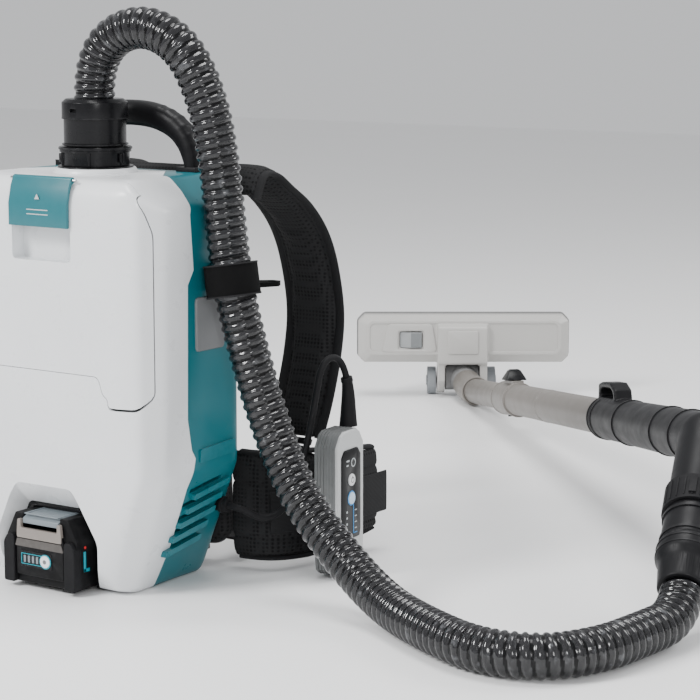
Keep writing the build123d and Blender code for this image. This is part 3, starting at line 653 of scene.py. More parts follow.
# ---- hose and cable -------------------------------------------------------------------------------------
def rib_height(phase):
    """Height of the round rib above the film, 0 to 1, over one turn of the helix."""
    t = (phase % 1.0) - 0.5
    half = 0.30
    return sqrt(max(0.0, 1 - (t / half) ** 2)) if abs(t) < half else 0.0


def make_hose():
    """Clear skin and one helical rib, both following the route's spline."""
    line = even_points(nurbs_points(HOSE_ROUTE, "hose_line"), HOSE_PITCH / 9)
    frames = parallel_frames(line)
    sides = 40
    bm = bmesh.new()
    rings = []
    heights = []
    arc = 0.0
    for i, (point, (tangent, side, rise)) in enumerate(zip(line, frames)):
        arc += (line[i] - line[i - 1]).length if i else 0.0
        ring, levels = [], []
        for k in range(sides):
            angle = tau * k / sides
            level = rib_height(arc / HOSE_PITCH - angle / tau)
            radius = HOSE_VALLEY + (HOSE_RADIUS - HOSE_VALLEY) * level
            ring.append(bm.verts.new(point + side * cos(angle) * radius + rise * sin(angle) * radius))
            levels.append(level)
        rings.append(ring)
        heights.append(levels)
    for i in range(len(rings) - 1):
        for k in range(sides):
            m = (k + 1) % sides
            face = bm.faces.new((rings[i][k], rings[i][m], rings[i + 1][m], rings[i + 1][k]))
            mean = (heights[i][k] + heights[i][m] + heights[i + 1][m] + heights[i + 1][k]) / 4
            face.material_index = 1 if mean > 0.05 else 0
            face.smooth = True
    mesh = bpy.data.meshes.new("hose_skin")
    bm.to_mesh(mesh)
    bm.free()
    mesh.materials.append(PAINTS["hose_film"])
    mesh.materials.append(PAINTS["smoke_hose"])
    hose = new_object("hose_skin", mesh, "smoke_hose", "root", "smoke_hose")
    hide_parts("hose")


def make_cable():
    """Round rubber cable of the control unit."""
    line = even_points(nurbs_points(CABLE_ROUTE, "cable_line"), 0.0025)
    bm = swept(line, lambda i, a: (CABLE_RADIUS * cos(a), CABLE_RADIUS * sin(a)), 20)
    cable = new_object("control_cable_skin", to_mesh(bm, "control_cable_skin"), "black_rubber", "root",
                       SLOT_OF["control_cable"])
    smooth_by_angle(cable.data)
    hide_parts("control_cable")


# ---- pack housings --------------------------------------------------------------------------------------
WALL = 3.0 * MM
SEAM = 0.55
PACK_VOXEL = 2.6 * MM
PACK_TOP = 0.3571
PORT_CENTRE = (0, -3, 0)
BORDER = [
    (-21, -1), (-15, 40), (-15, 91), (-9, 117), (-14, 125), (-19, 152), (-17, 267),
    (-9, 279), (-13, 326), (-6, 345), (-6, 362),
]
TOP_TONGUE = [(-79, -8), (79, -8), (48, 34), (-48, 34)]
BAY_OUTLINE = [(-57, -12), (57, -12), (57, 47), (36, 80), (28, 91), (-34, 91), (-42, 80), (-57, 47)]
BAY_POCKET = [(-45, -6), (45, -6), (45, 48), (36, 69), (32, 71.5), (-32, 71.5), (-36, 69), (-45, 48)]
COVER_LOW_EDGE = 166.6
LOUVRES = 5
LOUVRE_RISE = 12.4
LOUVRE_SHIFT = 4.6


def pack_form():
    """The pack's outer form as one solid, with its edges blended."""
    bm = bmesh.new()
    for node in ("front_housing", "rear_housing", "dust_cover"):
        for vertex in NODES[node].data.vertices:
            place = vertex.co
            if place.z > PACK_TOP or (abs(place.x) < 0.040 and place.z > 0.345):
                continue
            bm.verts.new(place)
    hull = bmesh.ops.convex_hull(bm, input=bm.verts)
    bmesh.ops.delete(bm, geom=[v for v in hull["geom_interior"] if isinstance(v, bmesh.types.BMVert)],
                     context="VERTS")
    piece = loose_solid(bm, "pack_form")
    blend_edges(piece, PACK_VOXEL, 22)
    return piece


def copy_of(piece, name):
    """A second object with its own copy of the mesh."""
    made = bpy.data.objects.new(name, piece.data.copy())
    bpy.context.scene.collection.objects.link(made)
    return made


def front_cutter(shift=0.0):
    """All the space in front of the border between the housings."""
    outline = [(y + shift, z) for y, z in BORDER] + [(-200, 362), (-200, -1)]
    solid = loose_solid(prism(outline, "x", -150, 150), "front_cutter", 1)
    tongue = [(x * (1 + shift / 60), y + shift) for x, y in TOP_TONGUE]
    boolean(solid, loose_solid(prism(tongue, "z", 346, 365), "tongue_cutter", 1), "UNION")
    return solid


def cover_cutter(grow):
    """The space of the dust cover."""
    half = [
        (61 - grow, 192 - grow), (66 - grow, 177 - grow), (71 - grow, 174 - grow),
        (72 - grow, 165 - grow), (99 + grow, 165 - grow), (107 + grow, 176 - grow), (107 + grow, 313),
        (103 + grow, 332), (89 + grow, 362),
    ]
    half = [(x, max(z, COVER_LOW_EDGE)) for x, z in half] if grow == 0 else half
    outline = rounded_outline(mirrored_outline(half), 5, 3)
    solid = loose_solid(prism(outline, "y", -95, -40), "cover_cutter", 1)
    depth = [(-97, 150), (-48, 150), (-48, 330), (-60 + grow, 346), (-60 + grow, 364), (-97, 364)]
    boolean(solid, loose_solid(prism(depth, "x", -150, 150), "depth_cutter", 1), "INTERSECT")
    return solid


def bay_cutter():
    """The battery's scoop; its faces stay on the housing."""
    steps = [(-95, BAY_OUTLINE), (-75, BAY_OUTLINE), (-59, BAY_POCKET), (34, BAY_POCKET)]
    bm = bmesh.new()
    rings = [outline_ring(bm, rounded_outline(outline, 5, 3), "y", y) for y, outline in steps]
    return loose_solid(close_rings(bm, rings), "bay_cutter", 0)


def open_shell(solid, name, material, node, thickness=WALL):
    """Keeps the solid's outer faces and gives them a wall; cut faces are left open."""
    bm = bmesh.new()
    bm.from_mesh(solid.data)
    cut = [f for f in bm.faces if f.material_index == 1]
    bmesh.ops.delete(bm, geom=cut, context="FACES")
    loose = [v for v in bm.verts if not v.link_faces]
    bmesh.ops.delete(bm, geom=loose, context="VERTS")
    for face in bm.faces:
        face.material_index = 0
    mesh = bpy.data.meshes.new(name)
    bm.to_mesh(mesh)
    bm.free()
    bpy.data.objects.remove(solid)
    mesh.materials.append(PAINTS[material])
    piece = new_object(name, mesh, material, BODY_OF[node], SLOT_OF[node])
    wall = piece.modifiers.new("wall", "SOLIDIFY")
    wall.thickness = thickness
    wall.offset = -1
    wall.use_even_offset = True
    wall.use_rim = True
    apply_modifiers(piece)
    smooth_by_angle(piece.data, 40)
    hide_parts(node)
    return piece


def ring_cutter():
    """Hole for the hose port in the top."""
    outline = [(24 * cos(tau * k / 48), -3 + 24 * sin(tau * k / 48)) for k in range(48)]
    return loose_solid(prism(outline, "z", 340, 370), "port_hole", 1)


def louvre_cutter():
    """Slanted exhaust slots through both flanks."""
    slots = []
    for step in range(LOUVRES):
        z, y = 36 + LOUVRE_RISE * step, -28 + LOUVRE_SHIFT * step
        slot = [(y, z), (y + 40, z + 7), (y + 40, z + 10.5), (y, z + 3.5)]
        for low, high in ((60, 130), (-130, -60)):
            slots.append(loose_solid(prism(slot, "x", low, high), "slot", 0))
    for slot in slots[1:]:
        boolean(slots[0], slot, "UNION")
    return slots[0]


def make_housings():
    """White front, teal rear and the hinged dust cover, cut from one form."""
    form = pack_form()
    front = copy_of(form, "front_solid")
    boolean(front, front_cutter(-0.15), "INTERSECT")
    boolean(front, cover_cutter(SEAM), "DIFFERENCE")
    boolean(front, bay_cutter(), "DIFFERENCE")
    boolean(front, ring_cutter(), "DIFFERENCE")
    open_shell(front, "front_shell", "white_shell", "front_housing")
    rear = copy_of(form, "rear_solid")
    boolean(rear, front_cutter(0.15), "DIFFERENCE")
    boolean(rear, louvre_cutter(), "DIFFERENCE")
    boolean(rear, bay_cutter(), "DIFFERENCE")
    open_shell(rear, "rear_shell", "teal_shell", "rear_housing")
    cover = copy_of(form, "cover_solid")
    boolean(cover, cover_cutter(0), "INTERSECT")
    recess = rounded_outline([(-33, 286), (33, 286), (33, 322), (-33, 322)], 5, 5)
    boolean(cover, loose_solid(prism(recess, "y", -90, -60), "recess", 0), "DIFFERENCE")
    open_shell(cover, "dust_cover_shell", "white_shell", "dust_cover", 2.4 * MM)
    bpy.data.objects.remove(form)


def block(low, high, bevel=0.6):
    """A bevelled block between two corners, in millimetres."""
    bm = bmesh.new()
    bmesh.ops.create_cube(bm, size=1)
    low, high = Vector(low), Vector(high)
    for vertex in bm.verts:
        vertex.co = (Vector([l + (h - l) * (c + 0.5) for l, h, c in zip(low, high, vertex.co)])) * MM
    if bevel:
        bmesh.ops.bevel(bm, geom=bm.edges[:], offset=bevel * MM, segments=2, affect="EDGES", profile=0.5)
    return bm


def joined(parts):
    """Several bmeshes as one."""
    bm = bmesh.new()
    for part in parts:
        mesh = bpy.data.meshes.new("part")
        part.to_mesh(mesh)
        part.free()
        bm.from_mesh(mesh)
        bpy.data.meshes.remove(mesh)
    return bm


def cylinder(start, end, radius, end_radius=None, sides=40, bevel=0.0):
    """A round bar between two points, in millimetres, with softened rims."""
    start, end = Vector(start), Vector(end)
    bm = bmesh.new()
    length = (end - start).length
    bmesh.ops.create_cone(bm, cap_ends=True, segments=sides, radius1=radius * MM,
                          radius2=(radius if end_radius is None else end_radius) * MM, depth=length * MM)
    turn = (end - start).to_track_quat("Z", "Y").to_matrix().to_4x4()
    bmesh.ops.transform(bm, matrix=Matrix.Translation((start + end) / 2 * MM) @ turn, verts=bm.verts)
    if bevel:
        rims = [e for e in bm.edges if len(e.link_faces) == 2 and e.calc_face_angle(0) > radians(40)]
        bmesh.ops.bevel(bm, geom=rims, offset=bevel * MM, segments=3, affect="EDGES", profile=0.5)
    return bm


def lathe(profile, centre, axis=(0, 0, 1), sides=96):
    """A closed ring: an outline of (radius, along) in millimetres turned about an axis."""
    bm = bmesh.new()
    axis = Vector(axis).normalized()
    side = axis.orthogonal().normalized()
    rise = axis.cross(side)
    rings = []
    for k in range(sides):
        out = side * cos(tau * k / sides) + rise * sin(tau * k / sides)
        rings.append([bm.verts.new((Vector(centre) + axis * z + out * r) * MM) for r, z in profile])
    return close_loop(bm, rings)


def piece_of(bm, name, material, body, slot=None, angle=35.0):
    """A finished piece from a bmesh."""
    piece = new_object(name, to_mesh(bm, name), material, body, slot)
    smooth_by_angle(piece.data, angle)
    return piece


def moved(bm, matrix):
    bmesh.ops.transform(bm, matrix=matrix, verts=bm.verts)
    return bm


def detail(bm, name, material, node, angle=35.0):
    """A finished piece that rides with a CAD node and takes the named finish."""
    return piece_of(bm, name, material, BODY_OF[node], SLOT_OF[node], angle)


def leaning(bm, start, slope, sign):
    """Leans a shape outward with height and puts it on the right or the left flank."""
    for vertex in bm.verts:
        vertex.co.x = sign * (vertex.co.x + (vertex.co.z / MM - start) * slope * MM)
    return bm


def make_flanks():
    """Exhaust fins, ridges and grip pads on both flanks."""
    fins, ridges, pads = [], [], []
    ridge = rounded_outline([(-4, 112), (44, 114.5), (44, 126.5), (-4, 124)], 2, 3)
    pad = rounded_outline([(-8, 209), (30, 209), (30, 255), (-8, 255)], 4)
    for sign in (1, -1):
        for step in range(LOUVRES):
            z, y = 29.5 + LOUVRE_RISE * step, -25 + LOUVRE_SHIFT * step
            out = 75.5 + (z + 6) * 0.36
            fin = rounded_outline([(y, z), (y + 46, z + 8), (y + 46, z + 13.6), (y, z + 5.6)], 1.4, 3)
            fins.append(leaning(prism(fin, "x", out - 7, out + 2.2), z, 0.25, sign))
        ridges.append(leaning(prism(ridge, "x", 106, 113.2), 112, 0.055, sign))
        pads.append(prism(pad, "x", sign * 110.2, sign * 114))
    piece_of(joined(fins), "exhaust_fins", "teal_shell", "root", "teal_shell")
    piece_of(joined(ridges), "flank_ridges", "teal_shell", "root", "teal_shell")
    grips = piece_of(joined(pads), "side_grip_pads", "soft_grey", "root", "soft_grey")
    bevel_modifier(grips, 0.8 * MM)
    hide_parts("side_pads")


def make_chamber():
    """Frame round the bag chamber's mouth and the boss under the hose port."""
    bars = [block((-80, -68, 176), (80, -65, 184), 0.4), block((-80, -68, 327), (80, -65, 340), 0.4),
            block((-80, -68, 184), (-70, -65, 327), 0.4), block((70, -68, 184), (80, -65, 327), 0.4)]
    piece_of(joined(bars), "bag_chamber_frame", "white_shell", "root", "white_shell")
    boss = lathe([(24.2, 355.5), (24.2, 361), (34.2, 361), (35, 360.2), (37, 357), (37, 354.5)], PORT_CENTRE)
    piece_of(boss, "port_boss", "white_shell", "root", "white_shell")


def make_latch():
    """Curved latch plate with rounded corners, a plain arrow and two lines."""
    dressed("cover_latch", "teal_latch", 0.0016, 4, 30, "latch_plate")
    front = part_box("cover_latch")[0].y / MM - 0.15
    lines = [block((-12, front, z), (12, front + 0.8, z + 0.9), 0.2) for z in (329.0, 325.2)]
    detail(joined(lines), "latch_lines", "print_light", "cover_latch")
    arrow = prism([(-2.6, 338.4), (2.6, 338.4), (0, 342.8)], "y", front - 0.05, front + 0.6)
    detail(arrow, "latch_arrow", "print_light", "cover_latch")


# ---- collar, carrying handle, hose band -----------------------------------------------------------------
def make_carry_handle():
    """Arched handle with finger ribs on its outer curve, on two feet."""
    line = mirrored_outline([(70, 355), (68, 368), (62, 382), (50, 394), (32, 402), (12, 405.5)])
    points = smooth_line([(x * MM, 48 * MM, z * MM) for x, z in line], 14)
    count = len(points)

    def section(i, angle):
        middle = min(1.0, abs(i / (count - 1) - 0.5) * 2)
        thick = 11.2 - 4.6 * middle ** 2
        ribs = 0.55 * max(0.0, sin(i * tau / 7)) * (0.25 < middle < 0.85) * max(0.0, sin(angle))
        high = thick * signed_power(sin(angle), 0.85) + ribs
        return 10.6 * signed_power(cos(angle), 0.75) * MM, high * MM

    handle = piece_of(swept(points, section, 28, up=(0, 0, 1)), "carry_handle_bow", "black_handle", "root",
                      "black_handle", 60)
    feet = [block((sign * 58, 35, 356.6), (sign * 80, 59, 361), 0.8) for sign in (1, -1)]
    piece_of(joined(feet), "carry_handle_feet", "black_handle", "root", "black_handle")
    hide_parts("carry_handle")


def make_hose_band():
    """Fabric band round the hose with a hem at each of its edges."""
    dressed("hose_band", "band_fabric", 0.0009, 3, 30, "hose_band_cloth")
    centre, along = Vector((139.4, 8.3, 271)), Vector((-8, 1, 50)).normalized()
    rims = []
    for offset in (-13.2, 13.2):
        profile = [(22.6, offset - 0.8), (23.5, offset - 0.5), (23.5, offset + 0.5), (22.6, offset + 0.8)]
        rims.append(lathe(profile, centre, along, 64))
    piece_of(joined(rims), "hose_band_hems", "binding", "root", "band_fabric")


# ---- battery --------------------------------------------------------------------------------------------
def make_battery():
    """Battery shell with its bumpers, light trim and marks on its side."""
    dressed("battery_case", "battery_plastic", 0.0013, 3, 28, "battery_shell")
    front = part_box("battery_case")[0].y / MM
    bumpers = []
    for sign in (1, -1):
        half = [(28.5, 4.6), (40.6, 4.6), (40.6, 40), (36, 47), (30, 47), (28.5, 44)]
        outline = rounded_outline([(sign * x, z) for x, z in half], 2.2, 4)
        bumpers.append(prism(outline, "y", front - 0.6, front + 9))
    bumper = detail(joined(bumpers), "battery_bumpers", "black_rubber", "battery_case")
    bevel_modifier(bumper, 1.0 * MM)
    uprights = [(-25.5, 45), (25.5, 45), (25.5, 50), (24.4, 61.5), (20.8, 61.5), (20.8, 53.8),
                (-20.8, 53.8), (-20.8, 61.5), (-24.4, 61.5), (-25.5, 50)]
    trim = prism(rounded_outline(uprights, 1.5, 3), "y", front + 0.1, front + 3.6)
    trim = detail(trim, "battery_trim_frame", "taupe_trim", "battery_trim")
    bevel_modifier(trim, 0.35 * MM)
    lower = rounded_outline([(-27.6, 37.4), (27.6, 37.4), (25.4, 44.2), (-25.4, 44.2)], 1.2, 3)
    detail(prism(lower, "y", front + 0.3, front + 3.6), "battery_lower_plate", "taupe_dark", "battery_trim")
    marks = [block((39.6, -73.5, 20), (40.25, -70.6, 38), 0.2),
             block((39.6, -73.5, 20), (40.25, -66, 23), 0.2)]
    detail(joined(marks), "battery_side_mark", "print_teal", "battery_case")
    dot = cylinder((39.6, -71.5, 41.5), (40.3, -71.5, 41.5), 1.2, sides=20)
    detail(dot, "battery_side_dot", "print_red", "battery_case")
    make_gauge(front)
    make_release()


def make_gauge(front):
    """Charge gauge: dark plate, four bars, their outline and the round key."""
    outline = rounded_outline([(-22, 20), (14, 20), (14, 34), (-22, 34)], 1.5, 4)
    plate = prism(outline, "y", front + 0.62, front + 1.2)
    plate = detail(plate, "gauge_plate", "gloss_black", "battery_case")
    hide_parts("battery_trim")
    near, far = front - 0.05, front + 0.8
    lines = [block((-20, near, 31.2), (3, far, 31.7), 0.1), block((-20, near, 22.2), (3, far, 22.7), 0.1),
             block((-20.4, near, 22.2), (-19.9, far, 31.7), 0.1),
             lathe([(5.5, -0.1), (6.3, -0.1), (6.3, 0.8), (5.5, 0.8)], (7, front, 27), (0, 1, 0), 48)]
    detail(joined(lines), "gauge_outline", "print_teal", "battery_case")
    bars = [block((-17.6 + 4.7 * k, front - 0.1, 24), (-15.2 + 4.7 * k, far, 30), 0.15) for k in range(4)]
    detail(joined(bars), "gauge_lights", "release_grey", "battery_case")
    dressed("gauge_button", "white_key", 0.0006, 3, 30, "gauge_key")
    dot = cylinder((7, front - 1.0, 27), (7, front - 0.7, 27), 1.9, sides=24)
    detail(dot, "gauge_key_mark", "mid_grey", "gauge_button")


def make_release():
    """Release button with a raised rim."""
    dressed("battery_button", "release_grey", 0.0007, 3, 28, "release_button")
    front_bar = block((-19.2, -82.6, 65.7), (19.2, -79.8, 66.6), 0.3)
    back_bar = block((-19.2, -55.5, 65.7), (19.2, -53, 66.6), 0.3)
    sides = [block((low, -80, 65.7), (low + 2, -55, 66.6), 0.3) for low in (-19.2, 17.2)]
    detail(joined([front_bar, back_bar, *sides]), "release_button_lip", "release_grey", "battery_button")


# ---- soft goods -----------------------------------------------------------------------------------------
STRAP_LINE = [
    (97, 330), (108, 350), (126, 350), (148, 337), (176, 319), (200, 294), (216, 262),
    (226, 217), (222, 178), (208, 134), (192, 100),
]
BELT_LINE = [(84.4, 79), (106, 80), (124, 88), (137, 108), (145, 140), (149, 175), (150, 206)]
LOWER_WEBBING = [(188, 92), (176, 66), (152, 40), (122, 26), (89, 22)]
BELT_MIDDLE = 59
PAD_THICKNESS = 11 * MM
BELT_WEBBING = [(126.5, 77.8), (145.3, 104.5), (153.6, 138.7), (157.7, 174.5), (158.6, 206), (158.6, 214)]


def pad_section(half_width, angle):
    """Crowned pad section: full in the middle and thin at its edges."""
    across = half_width * signed_power(cos(angle), 0.55)
    fall = 1 - 0.3 * abs(across / half_width) ** 3
    return across, PAD_THICKNESS / 2 * fall * signed_power(sin(angle), 0.7)


def lofted(points, side, corners, section):
    """A closed form along a line; section(i, angle) is (along side, away from it) in metres."""
    bm = bmesh.new()
    side = Vector(side)
    last = len(points) - 1
    rings = []
    for i, point in enumerate(points):
        tangent = (points[min(i + 1, last)] - points[max(i - 1, 0)]).normalized()
        rise = side.cross(tangent).normalized()
        offsets = [section(i, tau * k / corners) for k in range(corners)]
        rings.append([bm.verts.new(point + side * across + rise * high) for across, high in offsets])
    return close_rings(bm, rings)


def strap_edge(sign, x, per_run):
    """The strap's line at a distance from the pack's middle."""
    return smooth_line([(sign * x * MM, y * MM, z * MM) for y, z in STRAP_LINE], per_run)


def belt_path(sign):
    return smooth_line([(sign * x * MM, y * MM, BELT_MIDDLE * MM) for x, y in BELT_LINE], 8)


def belt_taper(i, count):
    """The belt wing's width at a point of its line, as a share of its full width."""
    return 1 - 0.22 * max(0.0, i / (count - 1) - 0.55) / 0.45


def blunt_end(i, count):
    """The pad's thickness near its ends, as a share of its full thickness."""
    return min(1.0, 0.72 + min(i, count - 1 - i) / 9)


def strap_base(sign):
    """A shoulder strap before the cloth pressure."""
    points = strap_edge(sign, 70, 8)

    def section(i, angle):
        across, high = pad_section(29.4 * MM, angle)
        end = blunt_end(i, len(points))
        return across * (0.9 + 0.1 * end), high * end

    return lofted(points, (1, 0, 0), 32, section)


def belt_base(sign):
    """A belt wing before the cloth pressure."""
    points = belt_path(sign)

    def section(i, angle):
        across, high = pad_section(50 * MM, angle)
        return across * belt_taper(i, len(points)), high * blunt_end(i, len(points))

    return lofted(points, (0, 0, 1), 36, section)


def remeshed(bm, name, material, node, voxel):
    """A soft piece with even faces, ready for the cloth simulation."""
    piece = new_object(name, to_mesh(bm, name), material, "root", SLOT_OF[node])
    blend_edges(piece, voxel)
    return piece


def coordinates(mesh, attribute="co"):
    """Places or normals of the mesh's points, as rows."""
    found = np.zeros(len(mesh.vertices) * 3, np.float32)
    mesh.vertices.foreach_get(attribute, found)
    return found.reshape(-1, 3).astype(float)


def place_points(mesh, places):
    mesh.vertices.foreach_set("co", places.astype(np.float32).ravel())
    mesh.update()


def simulate(pieces, cap, frames=20):
    """Swells padded pieces with cloth pressure, with each point's travel capped."""
    scene = bpy.context.scene
    rest = {p.name: coordinates(p.data) for p in pieces}
    for piece in pieces:
        cloth = piece.modifiers.new("cloth", "CLOTH")
        cloth.settings.quality = 4
        cloth.settings.mass = 0.25
        cloth.settings.tension_stiffness = 18
        cloth.settings.compression_stiffness = 18
        cloth.settings.bending_stiffness = 0.6
        cloth.settings.use_pressure = True
        cloth.settings.uniform_pressure_force = 4.0
        cloth.settings.effector_weights.gravity = 0
        cloth.point_cache.frame_start = 1
        cloth.point_cache.frame_end = frames
    for number in range(1, frames + 1):
        scene.frame_set(number)
    graph = bpy.context.evaluated_depsgraph_get()
    for piece in pieces:
        moved_to = coordinates(piece.evaluated_get(graph).data)
        piece.modifiers.clear()
        travel = moved_to - rest[piece.name]
        length = np.linalg.norm(travel, axis=1, keepdims=True)
        travel *= np.minimum(1.0, cap / np.maximum(length, 1e-9))
        place_points(piece.data, rest[piece.name] + travel)
    scene.frame_set(1)


def refine(piece):
    """A light smoothing and one subdivision after the simulation."""
    soften = piece.modifiers.new("soften", "SMOOTH")
    soften.iterations = 2
    finer = piece.modifiers.new("finer", "SUBSURF")
    finer.levels = 1
    finer.render_levels = 1
    apply_modifiers(piece)
    for polygon in piece.data.polygons:
        polygon.use_smooth = True


def sew_channels(piece, lines, depth, width, axis):
    """Sewn channels: grooves at fixed places along one axis, alike on both sides of the pack."""
    found = coordinates(piece.data)
    normals = coordinates(piece.data, "normal")
    dip = np.zeros(len(found))
    for place in lines:
        dip += np.exp(-((np.abs(found[:, axis]) - place) / width) ** 2)
    place_points(piece.data, found - normals * (depth * np.minimum(dip, 1))[:, None])


def flatten_back(pad):
    """The pad lies flat against its frame."""
    found = coordinates(pad.data)
    found[:, 1] = np.clip(found[:, 1], 0.0684, 0.0895)
    place_points(pad.data, found)


def make_soft_goods():
    """Back pad, shoulder straps, belt wings and the dust bag, swollen by one cloth simulation."""
    pad = new_object("back_pad_cloth", clean_copy("back_pad"), "mesh_fabric", "root", SLOT_OF["back_pad"])
    blend_edges(pad, 6.0 * MM, 4)
    straps, wings = [], []
    for sign, side in ((1, "right"), (-1, "left")):
        straps.append(remeshed(strap_base(sign), f"shoulder_strap_{side}", "mesh_fabric", "shoulder_straps",
                               4.0 * MM))
        wings.append(remeshed(belt_base(sign), f"belt_wing_{side}", "mesh_fabric", "waist_belt", 4.0 * MM))
    bag = remeshed(block((-82, -50, 182), (82, 46, 332), 12), "dust_bag_cloth", "filter_cloth", "dust_bag",
                   6.0 * MM)
    soft = [pad, *straps, *wings, bag]
    simulate(soft, 3.4 * MM)
    for piece in soft:
        refine(piece)
    flatten_back(pad)
    for strap in straps:
        sew_channels(strap, [0.0485, 0.0915], 1.3 * MM, 1.6 * MM, 0)
    for wing in wings:
        sew_channels(wing, [0.030, 0.080], 1.5 * MM, 2.0 * MM, 2)
    sew_channels(pad, [0.036], 1.6 * MM, 2.2 * MM, 0)
    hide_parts("back_pad")
    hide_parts("shoulder_straps")
    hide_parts("waist_belt")
    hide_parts("dust_bag")
    card = block((-46, -45, 338), (46, 40, 341.2), 0.5)
    neck = lathe([(17.5, 331), (26, 331), (26, 341), (17.5, 341)], PORT_CENTRE)
    detail(joined([card, neck]), "dust_bag_card", "filter_paper", "dust_bag")


def binding(line, wide, high, up):
    """Folded tape along an edge, with an oval section."""
    return swept(line, lambda i, angle: (wide * MM * cos(angle), high * MM * sin(angle)), 14, up)


def make_bindings():
    """Folded tape round the pads' edges."""
    strap_parts, belt_parts = [], []
    for sign in (1, -1):
        for x in (42, 98):
            strap_parts.append(binding(strap_edge(sign, x, 10), 2.4, 5.2, (1, 0, 0)))
        points = belt_path(sign)
        for z in (11.4, 106.6):
            edge = []
            for i, point in enumerate(points):
                height = BELT_MIDDLE + (z - BELT_MIDDLE) * belt_taper(i, len(points))
                edge.append(Vector((point.x, point.y, height * MM)))
            belt_parts.append(binding(edge[4:-2], 5.2, 2.4, (0, 0, 1)))
    detail(joined(strap_parts), "strap_bindings", "binding", "shoulder_straps", 60)
    detail(joined(belt_parts), "belt_bindings", "binding", "waist_belt", 60)


def tape(points, side, width, thickness):
    """A flat tape with rounded edges along a line; side is its width direction."""
    def section(_, angle):
        return (width / 2 * MM * signed_power(cos(angle), 0.3),
                thickness / 2 * MM * signed_power(sin(angle), 0.5))

    return lofted(points, side, 16, section)


def make_webbing():
    """Lower strap tapes, belt tapes and the buckles."""
    parts = []
    for sign in (1, -1):
        lower = smooth_line([(sign * 70 * MM, y * MM, z * MM) for y, z in LOWER_WEBBING], 10)
        wing = smooth_line([(sign * x * MM, y * MM, 55 * MM) for x, y in BELT_WEBBING], 10)
        parts += [tape(lower, (1, 0, 0), 26, 2.2), tape(wing, (0, 0, 1), 38, 1.8)]
    webbing = detail(joined(parts), "harness_tapes", "webbing", "harness_webbing", 50)
    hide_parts("harness_webbing")
    dressed("harness_buckles", "black_plastic", 0.001, 3, 30, "buckles")


# ---- control unit ---------------------------------------------------------------------------------------
CONTROL_PLACE = Matrix.Translation((0.1795, 0.109, 0)) @ Matrix.Rotation(radians(6), 4, "Z")
CONTROL_OUTLINE = [
    (-22, 8), (-17, 4), (17, 4), (22, 8), (24, 24), (24, 118), (17, 128), (11, 131),
    (-11, 131), (-17, 128), (-24, 118), (-24, 24),
]
PANEL_FACE = 11.8
RELIEF_FOOT = Vector((0.175, 0.129, 0.1308))
RELIEF_STEPS = 14               # steps from the case's top to the start of the cable


def on_control(bm):
    return moved(bm, CONTROL_PLACE)


def grown_outline(grow):
    """The control unit's outline, rounded and larger by grow on every side."""
    points = [(y * (1 + grow / 24), 67.5 + (z - 67.5) * (1 + grow / 64)) for y, z in CONTROL_OUTLINE]
    return rounded_outline(points, 3, 3)


def panel_mark(y0, z0, y1, z1, height=0.3):
    """A flat printed mark on the panel."""
    return block((PANEL_FACE, y0, z0), (PANEL_FACE + height, y1, z1), 0)


def panel_ring(radius, width, y, z, sides):
    """A flat printed ring on the panel."""
    profile = [(radius, PANEL_FACE), (radius + width, PANEL_FACE), (radius + width, PANEL_FACE + 0.3),
               (radius, PANEL_FACE + 0.3)]
    return lathe(profile, (0, y, z), (1, 0, 0), sides)


def relief_line():
    """From the case's top up the first part of the cable."""
    cable = even_points(nurbs_points(CABLE_ROUTE, "relief_line"), 0.0012)
    below = [RELIEF_FOOT + Vector((0, 0, 0.0222 * k / RELIEF_STEPS)) for k in range(RELIEF_STEPS)]
    return below + cable[:19]


def relief_section(i, angle):
    """Tapered sleeve with a collar at its end."""
    count = 32
    radius = (8.2 - 3.7 * (i / count) ** 0.8 + 0.7 * (i > count - 4)) * MM
    return radius * cos(angle), radius * sin(angle)


def make_control_unit():
    """Case with ribbed sides, panel, keys, belt clip and strain relief."""
    dressed("control_case_front", "light_grey", 0.0024, 4, 28, "control_front")
    dressed("control_case_back", "mid_grey", 0.0016, 3, 28, "control_back")
    inner = grown_outline(-0.8)
    seams = [frame_prism(grown_outline(0.45), inner, "x", -0.6, 8.6)]
    for depth in (-9.5, -6.5, -3.4, -0.4, 2.6, 5.6, 8.2):
        seams.append(frame_prism(grown_outline(0.85), inner, "x", depth - 0.45, depth + 0.45))
    detail(on_control(joined(seams)), "control_seam_ribs", "mid_grey", "control_case_back")
    dressed("control_clip", "black_plastic", 0.0006, 3, 30, "belt_clip")
    sleeve = swept(relief_line(), relief_section, 40)
    sleeve = detail(sleeve, "control_strain_sleeve", "black_rubber", "control_strain_relief", 50)
    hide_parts("control_strain_relief")
    make_panel()


